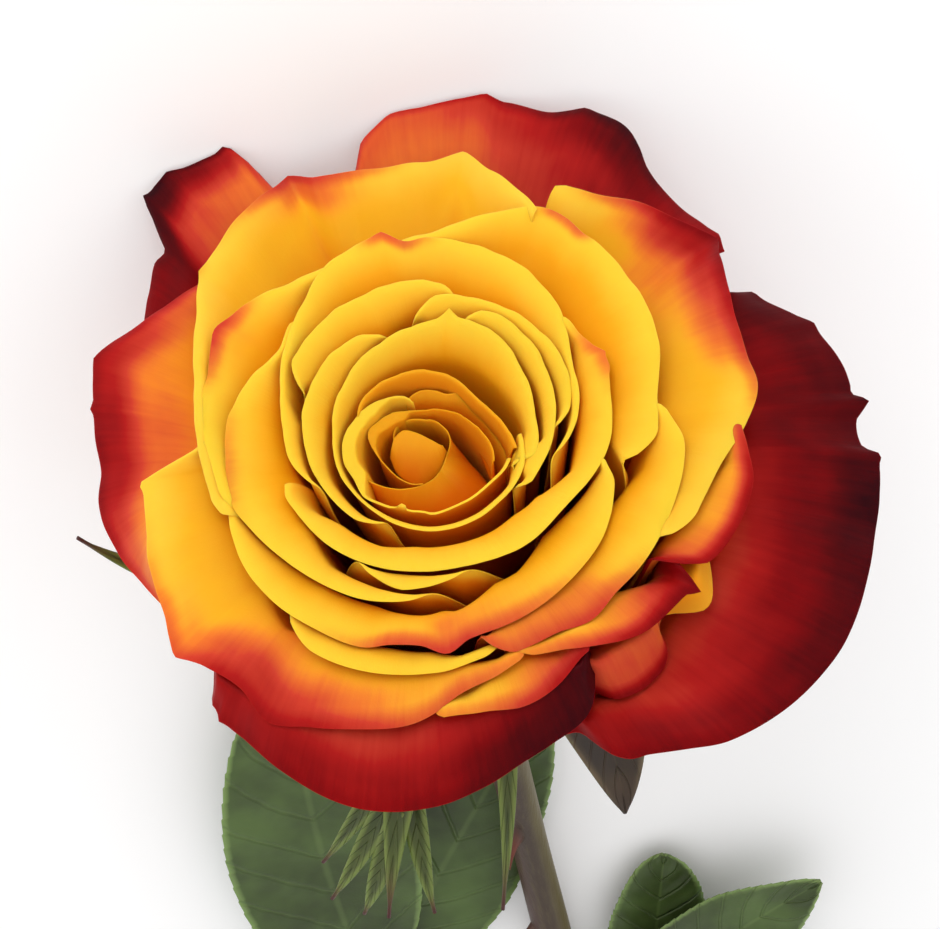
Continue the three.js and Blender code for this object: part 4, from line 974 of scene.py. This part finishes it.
for index, sepal in enumerate(sepals):
    angle = math.radians(sepal["azimuth"])
    outwards = np.array([math.cos(angle), math.sin(angle), 0.0])
    start = outwards * sepalForm["radius"] + [0, 0, sepalForm["height"]]
    bend = start + outwards * sepal["reach"] + [0, 0, sepalForm["drop"]]
    end = np.array(sepal["tip"], float)
    up = outwards * sepalForm["lean"] + [0, 0, 1.0]
    parts = [leafPart((start, bend, end), up, sepal["halfWidth"], outline=sepal.get("outline", lance),
                      fold=sepalForm["fold"], seed=index)]
    for share, tip in sepal["lobes"]:
        root = curvePoint(start, bend, end, share)
        knee = curvePoint(start, bend, end, share + sepalForm["lobeAhead"])
        knee = knee * (1 - sepalForm["lobeBend"]) + np.array(tip, float) * sepalForm["lobeBend"]
        parts.append(leafPart((root, knee, tip), up, sepalForm["lobeWidth"], outline=lance,
                              fold=sepalForm["fold"], rows=sepalForm["lobeRows"], cols=sepalForm["lobeCols"]))
    makePiece(sepal["node"], "_soft", parts, fromBloom, finishes[sepal.get("finish", "sepal")])
print("sepals made")

# The stem's fall from the receptacle to the surface, on its flat lower side
drop = (rose["bloomHeight"] - rose["neckLength"] * math.sin(rise)
        - rose["stemRadius"] * math.cos(math.pi / 8))
bowRadius = drop / (1 - math.cos(rise))


# The stem's centre line over the distance from the receptacle: a straight neck, an arc of
# bowRadius down to the surface, then straight along y
def stemCentre(distance):
    distance = np.asarray(distance, float)
    neck = np.minimum(distance, rose["neckLength"])
    past = np.maximum(0, distance - rose["neckLength"])
    turn = np.minimum(past / bowRadius, rise)
    y = neck * math.cos(rise) + bowRadius * (math.sin(rise) - np.sin(rise - turn))
    y = y + np.maximum(0, past - bowRadius * rise)
    z = rose["bloomHeight"] - neck * math.sin(rise) - bowRadius * (np.cos(rise - turn) - math.cos(rise))
    return np.stack([np.zeros_like(y), y, z], -1)


# The point of the centre line at a given y, found by stepping closer
def stemPoint(y):
    distance = float(y)
    for _ in range(30):
        distance += y - stemCentre(distance)[1]
    return stemCentre(distance)


# A leaf leaves the stem at foot to one side; stalk gives two more points of its stalk
leaves = [
    dict(node="leaf_upper", foot=128, side=1, stalk=[(15, 112, 4.2), (30, 92, 4.5)], leaflets=[
        dict(line=[(30, 93, 4.5), (34, 56, 5), (27, 23, 8)], halfWidth=14.5),
        dict(line=[(29, 94, 4.4), (11, 71, 0.9), (-8, 48, 0.8)], halfWidth=12.8, fold=0.0),
        dict(line=[(27, 96.5, 4.3), (48, 104, 5), (70, 119, 1.5)], halfWidth=11.5)]),
    dict(node="leaf_middle", foot=156, side=-1, stalk=[(-6, 130, 5.2), (-11, 108, 6)], leaflets=[
        dict(line=[(-11, 109, 6), (-24, 98, 8.5), (-43, 92, 8)], halfWidth=10.5),
        dict(line=[(-10.5, 115, 5.6), (-16, 98, 3), (-20, 83, 3)], halfWidth=8, outline=rounded),
        dict(line=[(-10, 115, 5.6), (-26, 118, 7), (-43, 128, 2)], halfWidth=9.5),
        dict(line=[(-6.5, 130, 5.2), (-20, 138, 7), (-38, 152, 2)], halfWidth=9),
        dict(line=[(-6.5, 130, 5.4), (4, 127, 13), (17, 118, 12)], halfWidth=7.5)]),
    dict(node="leaf_lower", foot=264, side=1, stalk=[(18, 238, 5.2), (32, 208, 5)], leaflets=[
        dict(line=[(32, 209, 5), (40, 184, 7), (52, 160, 1.5)], halfWidth=13),
        dict(line=[(29, 215, 5), (46, 212, 8), (67, 217, 1.5)], halfWidth=11),
        dict(line=[(29, 215, 5), (18, 200, 7), (13, 180, 1.5)], halfWidth=9),
        dict(line=[(18, 238, 5.2), (35, 240, 7), (53, 252, 1.5)], halfWidth=9.5),
        dict(line=[(18, 238, 5.3), (4, 230, 13), (-14, 216, 11)], halfWidth=8)]),
]
leaflet = {"fold": 0.16, "teeth": 0.22, "toothCount": 26, "thickness": 0.45, "rows": 177, "cols": 25,
           "veins": 0.25, "wave": 0.35}
stalk = {"rings": 60, "sides": 12, "radii": ([0, 0.2, 1], [1.3, 1.0, 0.75]), "offStem": 0.9,
         "away": (3.5, -5, 1.2), "paleness": 0.35}
closedEnd = 0.02

for index, leaf in enumerate(leaves):
    reach = rose["stemRadius"] + rose["clearance"] + stalk["offStem"]
    root = stemPoint(leaf["foot"]) + np.array([leaf["side"] * reach, 0, 0])
    x, y, z = stalk["away"]
    away = root + np.array([leaf["side"] * x, y, z])
    line = throughPoints([root, away, *leaf["stalk"]], stalk["rings"])
    radii = np.interp(np.linspace(0, 1, stalk["rings"]), *stalk["radii"])
    radii[[0, -1]] = closedEnd
    parts = [tubePart(line, radii, stalk["sides"])]
    parts[0]["fields"]["edge"] = np.full(len(parts[0]["points"]), stalk["paleness"])
    for number, own in enumerate(leaf["leaflets"]):
        parts.append(leafPart(up=(0, 0, 1), seed=index * 10 + number, **{**leaflet, **own}))
    makePiece(leaf["node"], "_soft", parts, toWorld, finishes["leaf"])
print("leaves made")

# Bark: brown, mauve on one side and olive on the other, with fine lengthwise streaks
barkGroup, given, result = newGroup("green_bark", ["Brown", "Mauve", "Olive", "Pith", "Thorn"], [])
coords = newNode("ShaderNodeTexCoord").outputs["Object"]
lines = noise(coords, (1400, 60, 1400), 4.0, 0.6)
patch = noise(coords, (120, 40, 120), 3.0, 0.6)
split = newNode("ShaderNodeSeparateXYZ")
connect(coords, split.inputs[0])
offCentre = calc("ADD", split.outputs["X"], rose["origin"][0] * millimetre)
across = calc("ADD", calc("MULTIPLY", offCentre, 330.0), calc("MULTIPLY_ADD", patch, 0.8, -0.4))
olive = blend(span(across, -0.9, -0.1), given["Olive"], given["Brown"])
mauve = blend(span(across, 0.1, 0.9), olive, given["Mauve"])
streaked = blend(span(lines, 0.45, 0.75), mauve, given["Olive"])
thorny = blend(attribute("thorn"), blend(0.35, mauve, streaked), given["Thorn"])
connect(blend(attribute("cut"), thorny, given["Pith"]), result["Color"])
connect(calc("MULTIPLY_ADD", patch, 0.2, 0.36), result["Roughness"])
connect(lines, result["Height"])
barkTones = {"Brown": "3A2A1C", "Mauve": "4A342E", "Olive": "5E5432", "Pith": "C8CC98", "Thorn": "6A3020"}
finishes["stem"] = newMaterial("green_bark", barkGroup, barkTones, 0.0002, {"Specular IOR Level": 0.4})

# Thorns as (distance from the receptacle, degrees around the stem)
thorns = [(70, 60), (96, 15), (142, 75), (176, 5), (208, 130), (238, 35), (268, 95), (300, 165)]
thorn = {"length": 5.5, "sunk": 0.6, "hook": 0.5, "rings": 16, "sides": 14,
         "tipLong": 0.12, "long": 3.0, "tipWide": 0.1, "wide": 1.25}


# A thorn: rings about a line that leaves the bark and hooks towards the cut end by a parabola,
# wide along the stem and narrow across it, both falling to the tip as powers of 1 - s
def thornPart(distance, around):
    centre = stemCentre(distance)
    ahead = stemCentre(distance + 1) - centre
    ahead /= np.linalg.norm(ahead)
    side = np.cross(ahead, [0, 0, 1.0])
    side /= np.linalg.norm(side)
    top = np.cross(side, ahead)
    out = side * math.cos(math.radians(around)) + top * math.sin(math.radians(around))
    flank = np.cross(out, ahead)
    count, sides = thorn["rings"], thorn["sides"]
    s = np.linspace(0, 1, count)[:, None, None]
    angle = (2 * np.pi * np.arange(sides) / sides)[None, :, None]
    middle = (centre + out * (rose["stemRadius"] * thorn["sunk"] + s * (thorn["length"] * 0.85 + 1.2))
              + ahead * (thorn["hook"] * thorn["length"] * s ** 2))
    long = thorn["tipLong"] + thorn["long"] * (1 - s) ** 2.2
    wide = thorn["tipWide"] + thorn["wide"] * (1 - s) ** 1.4
    rings = middle + ahead * long * np.cos(angle) + flank * wide * np.sin(angle)
    foot = np.array([[0, k, k + 1, k + 2] for k in range(1, sides - 2, 2)])
    caps = np.concatenate([foot[:, ::-1], foot + (count - 1) * sides])
    redness = np.repeat(smooth(np.linspace(-0.1, 1, count) * 1.5), sides)
    return ringPart(rings, {"thorn": redness}, caps)


# The stem: a tube that swells at each leaf's foot, pressed flat on the surface, with a slanting cut
stemForm = {"rings": 340, "sides": 32, "start": 6, "swelling": 0.35, "swellingReach": 3.0,
            "uneven": 0.06, "unevenLength": 7.0, "flatAt": 0.02, "cutBack": 3, "cutSlant": 35}
length, endStep = rose["stemLength"], 0.05
stops = np.concatenate([[5.9], np.linspace(stemForm["start"], length, stemForm["rings"]), [length + endStep]])
radii = np.full(len(stops), rose["stemRadius"] - 0.1)
for leaf in leaves:
    beyond = (stemCentre(stops)[:, 1] - leaf["foot"]) / stemForm["swellingReach"]
    radii += stemForm["swelling"] * np.exp(-beyond ** 2)
radii += stemForm["uneven"] * np.sin(stops / stemForm["unevenLength"])
radii[[0, -1]] = closedEnd
stem = tubePart(stemCentre(stops), radii, stemForm["sides"])
points = stem["points"]
points[:, 2] = np.maximum(points[:, 2], stemForm["flatAt"])
cutFoot = stemCentre(length)[1] - stemForm["cutBack"]
limit = cutFoot - (points[:, 2] - rose["stemRadius"]) * math.tan(math.radians(stemForm["cutSlant"]))
points[:, 1] = np.minimum(points[:, 1], limit)
stem["fields"]["cut"] = np.repeat(np.arange(len(stops)) >= len(stops) - 1, stemForm["sides"]).astype(float)

# The hip: rings about the bloom's axis as (height, radius), closed inside the petals
hip = {"sides": 40, "rings": 40, "foot": -16, "top": 0.2,
       "levels": [(-16, 3.0), (-13, 3.2), (-11, 3.6), (-7, 4.6), (-3.5, 5.8), (-1.4, 6.6), (-0.5, 6.9),
                  (0.2, 7.0)],
       "inside": [(0.6, 6.9), (4, 5.2), (9, 3.2), (14, 1.2), (17, closedEnd)]}
skin = np.linspace(hip["foot"], hip["top"], hip["rings"])
heights = np.concatenate([[-16.2], skin, [height for height, _ in hip["inside"]]])
radii = np.concatenate([[closedEnd], flowing(hip["levels"], skin), [radius for _, radius in hip["inside"]]])
angle = 2 * np.pi * np.arange(hip["sides"]) / hip["sides"]
rings = np.stack([radii[:, None] * np.cos(angle), radii[:, None] * np.sin(angle),
                  heights[:, None] + 0 * angle], 2)
hipPart = ringPart(rings, {})
toOrigin = np.array([rose["origin"][0], rose["origin"][1], 0])
hipPart["points"] = fromBloom(hipPart["points"]) / millimetre + toOrigin
parts = [stem, hipPart, *[thornPart(*place) for place in thorns]]
makePiece("stem", "_bark", parts, toWorld, finishes["stem"])
print("stem made")

# Floor, light and camera
half = 4.0
floorTone = (0.97, 0.97, 0.97, 1)
floorMesh = bpy.data.meshes.new("floor")
corners = [(-half, -half, 0), (half, -half, 0), (half, half, 0), (-half, half, 0)]
floorMesh.from_pydata(corners, [], [(0, 1, 2, 3)])
floor = bpy.data.objects.new("floor", floorMesh)
bpy.context.scene.collection.objects.link(floor)
floorFinish = bpy.data.materials.new("floor_white")
floorFinish.use_nodes = True
floorShader = floorFinish.node_tree.nodes["Principled BSDF"]
floorShader.inputs["Base Color"].default_value = floorTone
floorShader.inputs["Roughness"].default_value = 0.9
floorMesh.materials.append(floorFinish)

world = bpy.data.worlds.new("studio")
bpy.context.scene.world = world
world.use_nodes = True
world.node_tree.nodes["Background"].inputs["Color"].default_value = (1, 1, 1, 1)

# The camera looks at a point of the bloom, which lies at a pixel of the photograph's frame
camera = {
    "focal": 4000.0,
    "frameWidth": 940,
    "frameHeight": 929,
    "sensor": 36.0,
    "tilt": 27.0,
    "roll": 14.0,
    "distance": 520.0,
    "target": (0.0, 0.0, 40.0),
    "targetPixel": (428, 462),
}
tilt = math.radians(camera["tilt"])
roll = math.radians(camera["roll"])
towards = np.array([0.0, -math.sin(tilt), math.cos(tilt)])
upright = np.array([0.0, math.cos(tilt), math.sin(tilt)])
sideways = np.array([1.0, 0.0, 0.0])
right = math.cos(roll) * sideways - math.sin(roll) * upright
up = math.sin(roll) * sideways + math.cos(roll) * upright
pixel = camera["distance"] / camera["focal"]
eye = (np.array(camera["target"]) + camera["distance"] * towards
       + right * (camera["frameWidth"] / 2 - camera["targetPixel"][0]) * pixel
       - up * (camera["frameHeight"] / 2 - camera["targetPixel"][1]) * pixel)
lens = bpy.data.cameras.new("camera")
lens.sensor_width = camera["sensor"]
lens.lens = camera["focal"] / camera["frameWidth"] * camera["sensor"]
lens.clip_start = 0.01
lens.clip_end = 50.0
viewer = bpy.data.objects.new("camera", lens)
bpy.context.scene.collection.objects.link(viewer)
placing = np.eye(4)
placing[:3, :3] = (np.stack([right, up, towards]) @ bloomAxes).T
placing[:3, 3] = fromBloom(eye[None, :])[0]
viewer.matrix_world = Matrix(placing.tolist())
bpy.context.scene.camera = viewer

lamp = {"name": "key", "from": Vector((0.15, -1.2, 0.6)), "size": 0.8, "power": 6.2}
light = bpy.data.lights.new(lamp["name"], "AREA")
light.size = lamp["size"]
light.energy = lamp["power"]
holder = bpy.data.objects.new(lamp["name"], light)
bpy.context.scene.collection.objects.link(holder)
holder.location = Vector(fromBloom(np.array([camera["target"]]))[0]) + lamp["from"]
holder.rotation_mode = "QUATERNION"
holder.rotation_quaternion = lamp["from"].to_track_quat("Z", "Y")

bpy.context.scene.view_settings.view_transform = "Standard"
print("stage made")
